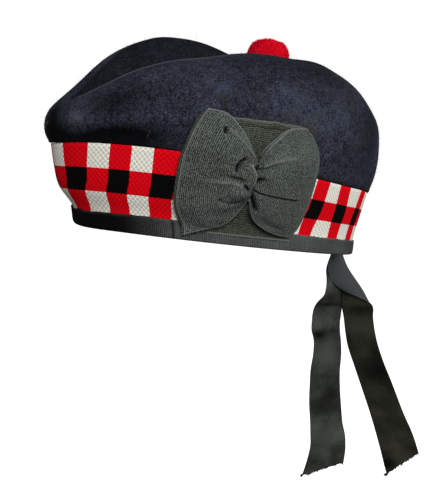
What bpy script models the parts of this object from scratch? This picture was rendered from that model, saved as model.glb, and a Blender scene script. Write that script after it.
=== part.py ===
"""Glengarry: a creased felt cap with a diced band, a bound rim, a ribbon cockade, two tails and a toorie.

Everything is modelled in metres with the rim level, the forehead towards -Y, the wearer's left side
towards +X and the middle of the head opening at the origin, and is then tipped back as it is worn.
"""
import math

import bpy
import bmesh
import numpy as np
from mathutils import Vector

for leftover in list(bpy.data.objects):
    bpy.data.objects.remove(leftover, do_unlink=True)

# Driving sizes
WORN_TILT_DEG = 10.5          # the rim's front stands higher than its back
RIM_WIDTH = 0.1404
RIM_LENGTH = 0.2164
RIM_FRONT_REACH = 0.1084      # from the origin forwards to the rim's front
RIM_SIDE_RISE = 0.003         # the rim arches up over the ears by this much
RIM_BACK_DROP = 0.0016        # and is this much lower at the nape
SEAM_SIDE_RISE = 0.004        # the crown seam arches up over the ears by this much
FRONT_DIP = 0.0022            # the band dips this much lower over the forehead
FRONT_DIP_REACH_RAD = 0.45
SEAM_DIP = 0.0023             # the crown seam sags this much behind the ears
SEAM_DIP_ANGLE_RAD = 1.85
SEAM_DIP_REACH_RAD = 0.45
OUTLINE_POWER = 2.05          # 2 is an ellipse, more is squarer

BAND_HEIGHT = 0.0455          # rim to the crown seam, upright
FRONT_FLARE = 0.0192          # the seam's front beyond the rim's front
SIDE_FLARE = 0.0078           # the seam's side beyond the rim's side
BACK_FLARE = 0.0012           # the seam's back beyond the rim's back
BAND_WALL = 0.002

BINDING_HEIGHT = 0.0103
BINDING_THICKNESS = 0.001

CROWN_WALL = 0.002
CROWN_RISE = 0.081            # seam to the top of the left ridge
FAR_RIDGE_LIFT = 0.014        # the right ridge stands this much higher near the front
RIDGE_HALF_SPACING = 0.026
CREASE_DEPTH = 0.015
NOSE_REACH = -0.001           # where the ridges meet, beyond the seam's front
NAPE_REACH = 0.0085           # where the ridges end, beyond the seam's back
SIDE_BULGE = 0.004            # fullness of the crown above the seam
WALL_LOWER_LIFT = 0.42        # shares that steer the crown's curve from the seam to the ridge
WALL_UPPER_REACH = 0.62
WALL_UPPER_DROP = 0.02
FOLD_RIDGE_REACH = 0.45       # and from the ridge down into the crease
FOLD_CREASE_REACH = 0.35
FOLD_CREASE_RISE = 0.35

RIBBON = 0.001                # thickness of every ribbon of the cockade and tails
COCKADE_FORWARD = 0.042       # cockade's middle ahead of the widest place, along the seam
COCKADE_LEVEL = 0.0372        # cockade's middle above the rim, up the side
COCKADE_HALF_HEIGHT = 0.040
BACKING_FRONT = 0.027         # the flat panel's reach from the middle to the front
BACKING_REAR = 0.033
BACKING_HALF_HEIGHT = 0.033
FRONT_LOOP_LENGTH = 0.041
REAR_LOOP_LENGTH = 0.046
LOOP_FULLNESS = 0.0045        # how far a loop's face stands off its back
LOOP_PLEAT = 0.0012           # depth of the pleats at the knot
LOOP_NECK = 0.58              # share of the fullness under the knot
LOOP_EDGE_DROP = 0.35         # share by which a loop is flatter at its long edges
KNOT_WIDTH = 0.011
KNOT_HEIGHT = 0.014
KNOT_DEPTH = 0.0045
KNOT_SQUARENESS = 0.8         # 1 is an ellipsoid, less is boxier
KNOT_PINCH = 0.15             # share by which the knot thins towards its waist
KNOT_FORWARD = 0.2            # share of its width that the knot lies ahead of the middle

TOORIE_RADIUS = 0.0162
TOORIE_HEIGHT = 0.031         # from the bottom of the crease to the top of the wool
TOORIE_PLACE = 0.562          # share of the way from the nose to the nape
TUFT_RELIEF = 0.0006          # low locks of the clipped wool

TAIL_WIDTH = 0.034
TAIL_DROP = 0.220             # from the rim to the middle of the cut end
TAIL_CUT = 0.009              # the slanted end runs this far up and down from its middle
TAIL_LOOSE = 0.22             # below this share of its drop a tail is no longer gathered
TAIL_OPENING = 0.2            # share of the drop over which it opens out
TAIL_START = 0.06             # share of the drop over which it starts to lean
TAIL_WAVE = 0.006             # how far the tails curl out of their plane
TAIL_TURN_DEG = 57.7          # the tails' faces turn this far from straight ahead to the left
TAIL_SIDE = 0.006             # the tails' root lies this far left of the rim's middle
TAIL_BEHIND = 0.003           # and this far behind the binding
FOLD_DROP = 0.052             # height of the folded flap over the tails
FOLD_STAND = 0.0048           # the flap stands this far in front of the tails
FOLD_FULLNESS = 0.35          # and bulges by this share more in its middle
FOLD_FULL_BELOW = 0.625       # below this share of its drop it stands off fully

PIECE_GAP = 0.0003            # left between two pieces that touch

# Mesh steps
AROUND = 72
CROWN_WALL_ROWS = 7
CROWN_FOLD_ROWS = 5
RULER_STEPS = 240
CREASE_STEPS = 41
KNOT_SEGMENTS = 16
KNOT_RINGS = 9
TOORIE_AROUND = 16
LEFT_TAIL_STEPS = 34
RIGHT_TAIL_STEPS = 26
FOLD_STEPS = 12
RIBBON_COLUMNS = 7
NORMAL_STEP = 1e-3            # in radians and in shares of height, to find a face's direction

# Band wall by height: share of height, of the front flare, of the side flare
BAND_ROWS = (
    (0.00, 0.00, 0.00),
    (0.24, 0.17, -0.15),
    (0.46, 0.62, 0.20),
    (0.73, 0.85, 0.64),
    (1.00, 1.00, 1.00),
)

# Ridges by length: share of length from the nose, left height, right lift, spacing, crease depth
RIDGE_ROWS = (
    (0.00, 0.21, 0.00, 0.00, 0.00),
    (0.08, 0.385, 0.65, 0.55, 0.35),
    (0.14, 0.53, 1.25, 0.72, 0.60),
    (0.23, 0.68, 1.55, 0.86, 0.90),
    (0.33, 0.80, 1.50, 0.94, 1.00),
    (0.43, 0.90, 0.95, 1.00, 1.00),
    (0.56, 0.975, 0.35, 1.00, 1.00),
    (0.64, 1.00, 0.10, 1.00, 1.00),
    (0.77, 0.935, 0.00, 1.00, 0.95),
    (0.83, 0.855, 0.00, 0.98, 0.80),
    (0.92, 0.71, 0.00, 0.85, 0.45),
    (1.00, 0.57, 0.00, 0.00, 0.00),
)


# Numbers and curves

def smooth_table(rows, column, share):
    """Value of one column at a share of the length, on a cubic through the rows (Catmull-Rom slopes)."""
    table = np.array(rows, float)
    x = table[:, 0]
    y = table[:, column]
    slope = np.gradient(y, x)
    share = np.clip(share, x[0], x[-1])
    i = np.clip(np.searchsorted(x, share, side="right") - 1, 0, len(x) - 2)
    step = x[i + 1] - x[i]
    u = (share - x[i]) / step
    return ((1 + 2 * u) * (1 - u) ** 2 * y[i] + u * (1 - u) ** 2 * step * slope[i]
            + u * u * (3 - 2 * u) * y[i + 1] + u * u * (u - 1) * step * slope[i + 1])


def signed_power(value, power):
    return np.sign(value) * np.abs(value) ** power


def bezier(u, p0, p1, p2, p3):
    u = u[..., None]
    return (1 - u) ** 3 * p0 + 3 * u * (1 - u) ** 2 * p1 + 3 * u * u * (1 - u) * p2 + u ** 3 * p3


# Surfaces of the cap

def band_point(t, share):
    """Outer face of the band at angle t (0 at the forehead, towards the left) and share of its height."""
    front = RIM_FRONT_REACH + FRONT_FLARE * smooth_table(BAND_ROWS, 1, share)
    back = RIM_LENGTH - RIM_FRONT_REACH + BACK_FLARE * share
    side = RIM_WIDTH / 2 + SIDE_FLARE * smooth_table(BAND_ROWS, 2, share)
    middle = (back - front) * 0.5
    reach = (back + front) * 0.5
    x = side * signed_power(np.sin(t), 2 / OUTLINE_POWER)
    y = middle - reach * signed_power(np.cos(t), 2 / OUTLINE_POWER)
    rise = RIM_SIDE_RISE + (SEAM_SIDE_RISE - RIM_SIDE_RISE) * share
    drop = RIM_BACK_DROP * (1 - share) * (1 - np.cos(t)) / 2
    turned = np.arccos(np.cos(t))
    drop = drop + FRONT_DIP * np.exp(-(turned / FRONT_DIP_REACH_RAD) ** 2)
    sag = SEAM_DIP * np.exp(-((turned - SEAM_DIP_ANGLE_RAD) / SEAM_DIP_REACH_RAD) ** 2)
    z = BAND_HEIGHT * share + rise * np.sin(t) ** 2 - drop - sag * share ** 2
    return np.stack([x, y, z], -1)


def band_offset(t, share, offset):
    """Point off the band's outer face by an offset along its normal, outwards positive."""
    step = NORMAL_STEP
    along = band_point(t + step, share) - band_point(t - step, share)
    rising = band_point(t, share + step) - band_point(t, share - step)
    normal = np.cross(along, rising)
    normal = normal / np.linalg.norm(normal, axis=-1, keepdims=True)
    return band_point(t, share) + normal * offset


def ridge_point(t):
    """Top of the ridge at angle t; the two ridges meet at the nose and at the nape."""
    share = (1 - np.cos(t)) / 2
    nose = -(RIM_FRONT_REACH + FRONT_FLARE + NOSE_REACH)
    nape = RIM_LENGTH - RIM_FRONT_REACH + BACK_FLARE + NAPE_REACH
    y = nose + (nape - nose) * share
    x = np.sign(np.sin(t)) * RIDGE_HALF_SPACING * smooth_table(RIDGE_ROWS, 3, share)
    lift = np.where(np.sin(t) < 0, FAR_RIDGE_LIFT, 0) * smooth_table(RIDGE_ROWS, 2, share)
    z = BAND_HEIGHT + CROWN_RISE * smooth_table(RIDGE_ROWS, 1, share) + lift
    return np.stack([x, y, z], -1)


def crease_point(t):
    """Bottom of the crease beside the ridge at angle t, on the middle plane."""
    left = ridge_point(np.arccos(np.cos(t)))
    right = ridge_point(-np.arccos(np.cos(t)))
    share = (1 - np.cos(t)) / 2
    z = np.minimum(left[..., 2], right[..., 2]) - CREASE_DEPTH * smooth_table(RIDGE_ROWS, 4, share)
    return np.stack([0 * t, left[..., 1], z], -1)


def outward(t):
    """Level unit direction away from the head at angle t, square to the seam."""
    step = NORMAL_STEP
    along = band_point(t + step, 1 + 0 * t) - band_point(t - step, 1 + 0 * t)
    normal = np.stack([along[..., 1], -along[..., 0], 0 * t], -1)
    return normal / np.linalg.norm(normal, axis=-1, keepdims=True)


def crown_wall_point(t, u):
    """Crown from the seam (u 0) up over the full side to the ridge (u 1)."""
    up = np.array([0.0, 0.0, 1.0])
    seam = band_point(t, 1 + 0 * t)
    seam = seam + up * PIECE_GAP
    ridge = ridge_point(t)
    away = outward(t)
    height = (ridge - seam)[..., 2:3]
    level = np.linalg.norm((ridge - seam)[..., :2], axis=-1)[..., None]
    lower = seam + up * height * WALL_LOWER_LIFT + away * SIDE_BULGE * 2
    upper = ridge + away * level * WALL_UPPER_REACH - up * height * WALL_UPPER_DROP
    return bezier(u, seam, lower, upper, ridge)


def crown_fold_point(t, u):
    """Crown from the ridge (u 0) down into the crease (u 1)."""
    up = np.array([0.0, 0.0, 1.0])
    ridge = ridge_point(t)
    crease = crease_point(t)
    inward = crease - ridge
    drop = inward[..., 2:3] * up
    level = inward - drop
    first = ridge + level * FOLD_RIDGE_REACH
    second = crease - level * FOLD_CREASE_REACH - drop * FOLD_CREASE_RISE
    return bezier(u, ridge, first, second, crease)


def cap_point(t, q):
    """Whole outer face: q 0 to 1 up the band, 1 to 2 up the crown wall, 2 to 3 into the crease."""
    band = band_point(t, np.clip(q, 0, 1))
    wall = crown_wall_point(t, np.clip(q - 1, 0, 1))
    fold = crown_fold_point(t, np.clip(q - 2, 0, 1))
    q = q[..., None]
    return np.where(q <= 1, band, np.where(q <= 2, wall, fold))


# Meshes

def new_material(name, colour, roughness):
    material = bpy.data.materials.new(name)
    material.use_nodes = True
    shader = material.node_tree.nodes["Principled BSDF"]
    shader.inputs["Base Color"].default_value = (*colour, 1)
    shader.inputs["Roughness"].default_value = roughness
    shader.inputs["Metallic"].default_value = 0
    return material


collection = bpy.data.collections.new("glengarry")
bpy.context.scene.collection.children.link(collection)
worn = bpy.data.objects.new("worn_tilt", None)
worn.rotation_euler = (-math.radians(WORN_TILT_DEG), 0, 0)
collection.objects.link(worn)


def add_piece(name, mesh, material):
    piece = bpy.data.objects.new(name, mesh)
    piece.data.materials.append(material)
    piece.parent = worn
    collection.objects.link(piece)
    return piece


def grid_mesh(name, points, closed_rows=False, closed_columns=False, flip=False):
    """Quads over a grid of points; rows or columns may join round; coinciding points are merged."""
    rows, columns = points.shape[:2]
    bm = bmesh.new()
    verts = [[bm.verts.new(Vector(points[r, c])) for c in range(columns)] for r in range(rows)]
    for r in range(rows if closed_rows else rows - 1):
        for c in range(columns if closed_columns else columns - 1):
            r2 = (r + 1) % rows
            c2 = (c + 1) % columns
            corners = (verts[r][c], verts[r][c2], verts[r2][c2], verts[r2][c])
            bm.faces.new(corners[::-1] if flip else corners)
    bmesh.ops.remove_doubles(bm, verts=bm.verts, dist=1e-6)
    bmesh.ops.dissolve_degenerate(bm, edges=bm.edges, dist=1e-7)
    mesh = bpy.data.meshes.new(name)
    bm.to_mesh(mesh)
    bm.free()
    mesh.shade_smooth()
    return mesh


def add_wall(piece, thickness, inward=True):
    solidify = piece.modifiers.new("wall", "SOLIDIFY")
    solidify.thickness = thickness
    solidify.offset = -1 if inward else 1
    return solidify


angles = np.arange(AROUND) * 2 * math.pi / AROUND


def build_crown():
    rows = []
    for u in np.linspace(0, 1, CROWN_WALL_ROWS + 1):
        rows.append(crown_wall_point(angles, u + 0 * angles))
    for u in np.linspace(0, 1, CROWN_FOLD_ROWS + 1)[1:]:
        rows.append(crown_fold_point(angles, u + 0 * angles))
    mesh = grid_mesh("crown", np.array(rows), closed_columns=True)
    crown = add_piece("crown", mesh, new_material("navy_felt", (0.012, 0.014, 0.028), 0.95))
    add_wall(crown, CROWN_WALL)


def ring(name, section, material):
    """Closed ring round the head with a section of offsets from the band's face and heights."""
    rows = [band_offset(angles, height / BAND_HEIGHT + 0 * angles, offset) for offset, height in section]
    mesh = grid_mesh(name, np.array(rows), closed_rows=True, closed_columns=True)
    return add_piece(name, mesh, material)


def build_band():
    """The wall's outer and inner face, with rows where the binding has its own."""
    foot = BINDING_THICKNESS + PIECE_GAP
    heights = [foot, BINDING_HEIGHT / 2, BINDING_HEIGHT]
    clear = BINDING_HEIGHT + BAND_WALL
    heights += [row[0] * BAND_HEIGHT for row in BAND_ROWS if row[0] * BAND_HEIGHT > clear]
    section = [(0, height) for height in heights] + [(-BAND_WALL, height) for height in heights[::-1]]
    ring("diced_band", section, new_material("diced_wool", (0.6, 0.03, 0.04), 0.9))


def build_binding():
    """A ribbon folded under the band: outer leg, bottom and inner leg."""
    face = PIECE_GAP
    back = -BAND_WALL - PIECE_GAP
    outer = face + BINDING_THICKNESS
    inner = back - BINDING_THICKNESS
    top = BINDING_HEIGHT
    middle = BINDING_HEIGHT / 2
    foot = BINDING_THICKNESS
    section = ((outer, foot), (outer, middle), (outer, top), (face, top), (face, middle), (face, foot),
               (back, foot), (back, middle), (back, top), (inner, top), (inner, middle), (inner, foot),
               (back, 0), (face, 0))
    ring("rim_binding", section, new_material("black_ribbon", (0.02, 0.022, 0.024), 0.8))


# Cockade on the cap's left side: a along the seam to the back, b up the side, c out of the side

COCKADE_ANGLE = math.radians(95)
ruler_angles = np.linspace(0, math.pi, RULER_STEPS)
ruler_seam = band_point(ruler_angles, 1 + 0 * ruler_angles)
seam_lengths = np.concatenate([[0], np.cumsum(np.linalg.norm(np.diff(ruler_seam, axis=0), axis=1))])
cockade_start = np.interp(COCKADE_ANGLE, ruler_angles, seam_lengths) - COCKADE_FORWARD
ruler_q = np.linspace(0, 2, RULER_STEPS)
ruler_side = cap_point(COCKADE_ANGLE + 0 * ruler_q, ruler_q)
side_lengths = np.concatenate([[0], np.cumsum(np.linalg.norm(np.diff(ruler_side, axis=0), axis=1))])


def on_side(a, b, c):
    """Point c off the cap's face, a behind and b above the cockade's middle."""
    t = np.interp(cockade_start + a, seam_lengths, ruler_angles)
    q = np.interp(COCKADE_LEVEL + b, side_lengths, ruler_q)
    step = NORMAL_STEP
    face = cap_point(t, q)
    along = cap_point(t + step, q) - cap_point(t - step, q)
    rising = cap_point(t, q + step) - cap_point(t, q - step)
    normal = np.cross(along, rising)
    normal = normal / np.linalg.norm(normal, axis=-1, keepdims=True)
    return face + normal * c[..., None]


# Clear of the binding low down, close to the cap higher up
binding_stand = 2 * PIECE_GAP + BINDING_THICKNESS
BACKING_TOP = binding_stand + RIBBON

# Loops by length from the knot: share of length, top length, top height, bottom length, bottom height
FRONT_LOOP_ROWS = (
    (0.00, 0.04, 0.20, 0.04, -0.20),
    (0.25, 0.10, 0.42, 0.08, -0.43),
    (0.50, 0.23, 0.68, 0.24, -0.63),
    (0.75, 0.42, 0.88, 0.58, -0.78),
    (1.00, 0.64, 1.00, 1.00, -0.93),
)
REAR_LOOP_ROWS = (
    (0.00, 0.03, 0.22, 0.03, -0.20),
    (0.25, 0.13, 0.41, 0.05, -0.42),
    (0.50, 0.28, 0.63, 0.18, -0.63),
    (0.75, 0.46, 0.79, 0.40, -0.76),
    (1.00, 0.68, 0.85, 0.70, -0.82),
)
FRONT_LOOP_BOW = 0.15
REAR_LOOP_BOW = 0.31
LOOP_COLUMNS = 13
# Pleats across a loop: height share of the fold line, width share, depth share
FRONT_PLEATS = ((0.10, 0.16, -1.0), (-0.30, 0.16, 0.9), (-0.62, 0.14, -0.8), (0.62, 0.2, 0.5))
REAR_PLEATS = ((0.45, 0.16, -0.9), (-0.12, 0.12, -1.0), (0.12, 0.2, 0.6), (-0.55, 0.2, 0.7))


def loop_sheet(rows, length, bow, pleats, sign):
    """A flattened tube of ribbon: out from the knot on its face, round its end and back underneath."""
    v = np.linspace(-1, 1, LOOP_COLUMNS)
    out = np.array([0, 0.12, 0.25, 0.38, 0.52, 0.66, 0.8, 0.9, 0.97, 1.0, 1.0, 0.97, 0.9, 0.66, 0.38, 0.12])
    under = np.array([0, 0, 0, 0, 0, 0, 0, 0, 0.08, 0.35, 0.75, 1, 1, 1, 1, 1.0])
    share, across = np.meshgrid(out, v, indexing="ij")
    below = np.repeat(under[:, None], len(v), axis=1)
    top_a = smooth_table(rows, 1, share)
    top_b = smooth_table(rows, 2, share)
    low_a = smooth_table(rows, 3, share)
    low_b = smooth_table(rows, 4, share)
    w = (across + 1) / 2
    a = low_a + (top_a - low_a) * w + bow * share ** 2 * (1 - across ** 2)
    b = (low_b + (top_b - low_b) * w) * COCKADE_HALF_HEIGHT
    crown = (1 - LOOP_EDGE_DROP * across ** 2) * np.sin(math.pi * np.clip(share * 0.85 + 0.15, 0, 1)) ** 0.7
    fold = 0
    for place, width, depth in pleats:
        fold = fold + depth * np.exp(-((across - place) / width) ** 2)
    fold = fold * np.exp(-(share / 0.5) ** 2)
    back = BACKING_TOP + 2 * PIECE_GAP
    end = back + 2 * RIBBON + PIECE_GAP
    face = end + LOOP_FULLNESS * crown * (1 - share ** 6) + LOOP_PLEAT * (1 + fold) * (1 - share) ** 0.5
    c = face * (1 - below) + back * below
    return on_side(sign * length * a, b, c)


def build_cockade():
    ribbon = new_material("cockade_ribbon", (0.055, 0.07, 0.062), 0.75)
    a, b = np.meshgrid(np.linspace(-BACKING_FRONT, BACKING_REAR, 11), np.linspace(-1, 1, 9))
    b = b * BACKING_HALF_HEIGHT
    mesh = grid_mesh("cockade_backing", on_side(a, b, BACKING_TOP + 0 * a))
    add_wall(add_piece("cockade_backing", mesh, ribbon), RIBBON)
    front = loop_sheet(FRONT_LOOP_ROWS, FRONT_LOOP_LENGTH, FRONT_LOOP_BOW, FRONT_PLEATS, -1)
    mesh = grid_mesh("cockade_loop_front", front)
    add_wall(add_piece("cockade_loop_front", mesh, ribbon), RIBBON)
    rear = loop_sheet(REAR_LOOP_ROWS, REAR_LOOP_LENGTH, REAR_LOOP_BOW, REAR_PLEATS, 1)
    mesh = grid_mesh("cockade_loop_rear", rear, flip=True)
    add_wall(add_piece("cockade_loop_rear", mesh, ribbon), RIBBON)
    build_knot(ribbon)


def build_knot(ribbon):
    """The ribbon wound round the middle: a soft rounded block with a pinched waist line."""
    bm = bmesh.new()
    bmesh.ops.create_uvsphere(bm, u_segments=KNOT_SEGMENTS, v_segments=KNOT_RINGS, radius=1)
    loops_top = BACKING_TOP + 2 * PIECE_GAP + 3 * RIBBON + LOOP_FULLNESS * LOOP_NECK + 2 * LOOP_PLEAT
    local = np.array([vert.co[:] for vert in bm.verts])
    local = signed_power(local, KNOT_SQUARENESS)
    pinch = 1 - KNOT_PINCH * np.cos(local[:, 1] * math.pi)
    a = local[:, 0] * KNOT_WIDTH / 2 - KNOT_WIDTH * KNOT_FORWARD
    b = local[:, 1] * KNOT_HEIGHT / 2
    c = local[:, 2] * pinch * KNOT_DEPTH / 2 + loops_top + KNOT_DEPTH / 2
    places = on_side(a, b, c)
    for vert, place in zip(bm.verts, places):
        vert.co = place
    mesh = bpy.data.meshes.new("cockade_knot")
    bm.to_mesh(mesh)
    bm.free()
    mesh.shade_smooth()
    add_piece("cockade_knot", mesh, ribbon)


# Toorie

def crease_floor(x, y):
    """Height of the crown's outer face inside the crease."""
    nose = ridge_point(np.array(0.0))[1]
    nape = ridge_point(np.array(math.pi))[1]
    share = np.clip((y - nose) / (nape - nose), 0, 1)
    t = np.arccos(1 - 2 * share) * np.where(x < 0, -1, 1)
    u = np.linspace(0, 1, CREASE_STEPS)
    path = crown_fold_point(t[..., None] + 0 * u, u + 0 * t[..., None])
    reach = np.abs(path[..., 0])
    i = np.clip((reach > np.abs(x)[..., None]).sum(-1), 1, len(u) - 1)
    near = np.take_along_axis(reach, i[..., None], -1)[..., 0]
    far = np.take_along_axis(reach, i[..., None] - 1, -1)[..., 0]
    low = np.take_along_axis(path[..., 2], i[..., None], -1)[..., 0]
    high = np.take_along_axis(path[..., 2], i[..., None] - 1, -1)[..., 0]
    part = np.clip((np.abs(x) - near) / np.maximum(far - near, 1e-9), 0, 1)
    return low + (high - low) * part


def build_toorie():
    """A clipped wool ball, flat on top and squeezed into the crease below, with rows of low locks."""
    # radius share, height share
    profile = ((0.0, 0.00), (0.30, 0.04), (0.62, 0.16), (0.86, 0.32), (0.99, 0.50), (1.00, 0.66),
               (0.93, 0.82), (0.74, 0.93), (0.45, 0.985), (0.0, 1.0))
    turn = np.arange(TOORIE_AROUND) * 2 * math.pi / TOORIE_AROUND
    nose = ridge_point(np.array(0.0))[1]
    nape = ridge_point(np.array(math.pi))[1]
    middle_y = nose + (nape - nose) * TOORIE_PLACE
    base = crease_floor(np.array(0.0), np.array(middle_y))
    rows = []
    for row, (radius, height) in enumerate(profile):
        lock = TUFT_RELIEF * np.cos(turn * TOORIE_AROUND / 2 + row * math.pi) * (0 < radius)
        x = (TOORIE_RADIUS * radius + lock) * np.cos(turn)
        y = (TOORIE_RADIUS * radius + lock) * np.sin(turn) + middle_y
        z = base + 2 * PIECE_GAP + TOORIE_HEIGHT * height + 0 * turn
        floor = crease_floor(x, y) + 2 * PIECE_GAP
        rows.append(np.stack([x, y, np.maximum(z, floor)], -1))
    mesh = grid_mesh("toorie", np.array(rows), closed_columns=True)
    add_piece("toorie", mesh, new_material("red_wool", (0.65, 0.01, 0.02), 0.95))


# Tails, which hang plumb from the back of the tipped rim

tilt = math.radians(WORN_TILT_DEG)
rim_back = band_offset(np.array(math.pi), np.array(0.0), PIECE_GAP)
tail_root = np.array([
    TAIL_SIDE,
    rim_back[1] * math.cos(tilt) + rim_back[2] * math.sin(tilt) + TAIL_BEHIND,
    -rim_back[1] * math.sin(tilt) + rim_back[2] * math.cos(tilt) - PIECE_GAP,
])
tail_turn = math.radians(TAIL_TURN_DEG)
tail_across = np.array([math.cos(tail_turn), math.sin(tail_turn), 0.0])
tail_facing = np.array([math.sin(tail_turn), -math.cos(tail_turn), 0.0])
plumb = np.array([0.0, 0.0, 1.0])

# Tails by drop: share of drop, middle across and face width as shares of TAIL_WIDTH,
# stand out of the plane as a share of TAIL_WAVE
LEFT_TAIL_ROWS = (
    (0.00, -0.04, 0.22, 0.00),
    (0.07, -0.05, 0.30, 0.10),
    (0.13, -0.07, 0.42, 0.20),
    (0.19, -0.09, 0.56, 0.45),
    (0.24, -0.18, 0.72, 0.75),
    (0.28, -0.22, 0.76, 0.25),
    (0.34, -0.20, 0.77, 0.55),
    (0.41, -0.14, 0.76, 0.30),
    (0.50, -0.10, 0.80, 0.10),
    (0.64, -0.11, 0.88, -0.35),
    (0.76, -0.05, 0.94, -0.10),
    (0.86, 0.03, 0.98, 0.45),
    (1.00, 0.02, 1.00, 0.90),
)
RIGHT_TAIL_ROWS = (
    (0.00, -0.02, 0.22, -0.40),
    (0.06, 0.10, 0.40, -0.42),
    (0.14, 0.30, 0.58, -0.45),
    (0.21, 0.48, 0.72, -0.50),
    (0.27, 0.63, 0.75, -0.55),
    (0.43, 0.85, 0.75, -0.30),
    (0.55, 1.14, 0.79, 0.00),
    (0.72, 1.56, 0.85, 0.10),
    (0.89, 2.05, 0.96, -0.30),
    (1.00, 2.32, 0.98, -0.70),
)
# Flap by drop: share, left edge across, left edge drop, right edge across, right edge drop (widths and drops)
FOLD_ROWS = (
    (0.00, -0.06, 0.00, 0.07, 0.00),
    (0.22, -0.15, 0.28, 0.23, 0.32),
    (0.48, -0.10, 0.54, 0.48, 0.58),
    (0.76, 0.14, 0.74, 0.74, 0.82),
    (1.00, 0.30, 0.84, 0.97, 1.06),
)


def hang(s, stand, z):
    """Point across, in front of and above the tails' root."""
    return tail_root + s[..., None] * tail_across + stand[..., None] * tail_facing + z[..., None] * plumb


def tail_sheet(table, steps, forward):
    """Ribbon down a hanging path: gathered at its root, lower down turned where it looks narrower."""
    share, across = np.meshgrid(np.linspace(0, 1, steps), np.linspace(-1, 1, RIBBON_COLUMNS), indexing="ij")
    share = share * (1 - TAIL_CUT * across * share ** 2 / TAIL_DROP)
    middle = smooth_table(table, 1, share) * TAIL_WIDTH
    step = NORMAL_STEP
    lean = (smooth_table(table, 1, share + step) - smooth_table(table, 1, share - step)) * TAIL_WIDTH
    lean = lean / (2 * step * TAIL_DROP) * np.clip(share / TAIL_START, 0, 1)
    slope = 1 / np.sqrt(1 + lean ** 2)
    width = np.clip(smooth_table(table, 2, share), 0, 1)
    half = TAIL_WIDTH / 2 * across
    loose = np.clip((share - TAIL_LOOSE) / TAIL_OPENING, 0, 1)
    spread = width + (1 - width) * loose ** 2 * (3 - 2 * loose)
    away = np.sqrt(np.maximum(spread ** 2 - width ** 2, 0)) * forward
    s = middle + half * width * slope
    z = -TAIL_DROP * share + half * width * slope * lean
    return hang(s, smooth_table(table, 3, share) * TAIL_WAVE + half * away, z)


def add_ribbon(name, points, material):
    piece = add_piece(name, grid_mesh(name, points), material)
    piece.parent = None
    wall = add_wall(piece, RIBBON)
    wall.offset = 0


def build_tails():
    ribbon = new_material("tail_ribbon", (0.012, 0.014, 0.013), 0.7)
    add_ribbon("tail_left", tail_sheet(LEFT_TAIL_ROWS, LEFT_TAIL_STEPS, -1), ribbon)
    add_ribbon("tail_right", tail_sheet(RIGHT_TAIL_ROWS, RIGHT_TAIL_STEPS, 1), ribbon)
    down = np.linspace(0, 1, FOLD_STEPS)
    share, across = np.meshgrid(down, np.linspace(0, 1, RIBBON_COLUMNS), indexing="ij")
    left = smooth_table(FOLD_ROWS, 1, share)
    right = smooth_table(FOLD_ROWS, 3, share)
    s = (left + (right - left) * across) * TAIL_WIDTH
    left = smooth_table(FOLD_ROWS, 2, share)
    right = smooth_table(FOLD_ROWS, 4, share)
    z = -(left + (right - left) * across) * FOLD_DROP
    full = np.sin(math.pi / 2 * np.clip(share / FOLD_FULL_BELOW, 0, 1))
    bulge = full * (1 + FOLD_FULLNESS * np.sin(math.pi * across))
    add_ribbon("tail_fold", hang(s, RIBBON + PIECE_GAP + FOLD_STAND * bulge, z), ribbon)


build_crown()
build_band()
build_binding()
build_cockade()
build_toorie()
build_tails()
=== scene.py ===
import math

import bmesh
import bpy
import numpy as np
from mathutils import Matrix


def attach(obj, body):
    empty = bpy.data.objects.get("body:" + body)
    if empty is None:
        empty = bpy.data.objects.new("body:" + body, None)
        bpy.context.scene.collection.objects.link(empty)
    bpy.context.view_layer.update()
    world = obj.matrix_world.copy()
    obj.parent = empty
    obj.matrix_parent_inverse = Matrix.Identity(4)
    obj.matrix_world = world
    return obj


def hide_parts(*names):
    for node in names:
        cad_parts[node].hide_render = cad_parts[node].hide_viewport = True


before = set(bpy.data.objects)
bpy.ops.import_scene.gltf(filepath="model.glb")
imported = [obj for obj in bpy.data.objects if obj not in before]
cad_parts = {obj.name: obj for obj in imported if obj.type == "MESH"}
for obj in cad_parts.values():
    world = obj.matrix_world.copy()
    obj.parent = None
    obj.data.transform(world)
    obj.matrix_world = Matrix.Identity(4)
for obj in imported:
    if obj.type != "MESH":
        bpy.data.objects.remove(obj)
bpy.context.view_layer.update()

print("solids loaded:", len(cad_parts))


# The cap's own measures, in metres, with the rim level and the forehead at -Y

cap = {
    "tiltDeg": 10.5, "gap": 0.0003,
    "rimWidth": 0.1404, "rimLength": 0.2164, "rimFront": 0.1084,
    "rimSideRise": 0.003, "rimBackDrop": 0.0016, "seamSideRise": 0.004, "outlinePower": 2.05,
    "bandHeight": 0.0455, "bandWall": 0.002, "frontFlare": 0.0192, "sideFlare": 0.0078, "backFlare": 0.0012,
    "crownRise": 0.081, "farRidgeLift": 0.014, "ridgeHalfSpacing": 0.026, "creaseDepth": 0.015,
    "noseReach": -0.001, "napeReach": 0.0085,
    # the wall's bulge, and the shares of rise and reach that bend the wall and the fold
    "sideBulge": 0.008, "wallRise": 0.42, "wallReach": 0.62, "wallDrop": 0.02,
    "foldReach": 0.45, "creaseReach": 0.35,
    # how far the front dips over the forehead, and the seam behind the bow, with angle and reach in radians
    "frontDip": 0.0022, "frontDipReach": 0.45, "seamDip": 0.0023, "seamDipAt": 1.85, "seamDipReach": 0.45,
}
noseY = -(cap["rimFront"] + cap["frontFlare"] + cap["noseReach"])
napeY = cap["rimLength"] - cap["rimFront"] + cap["backFlare"] + cap["napeReach"]

# share of height, front flare, side flare
bandRows = ((0, 0, 0), (0.24, 0.17, -0.15), (0.46, 0.62, 0.2), (0.73, 0.85, 0.64), (1, 1, 1))

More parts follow.
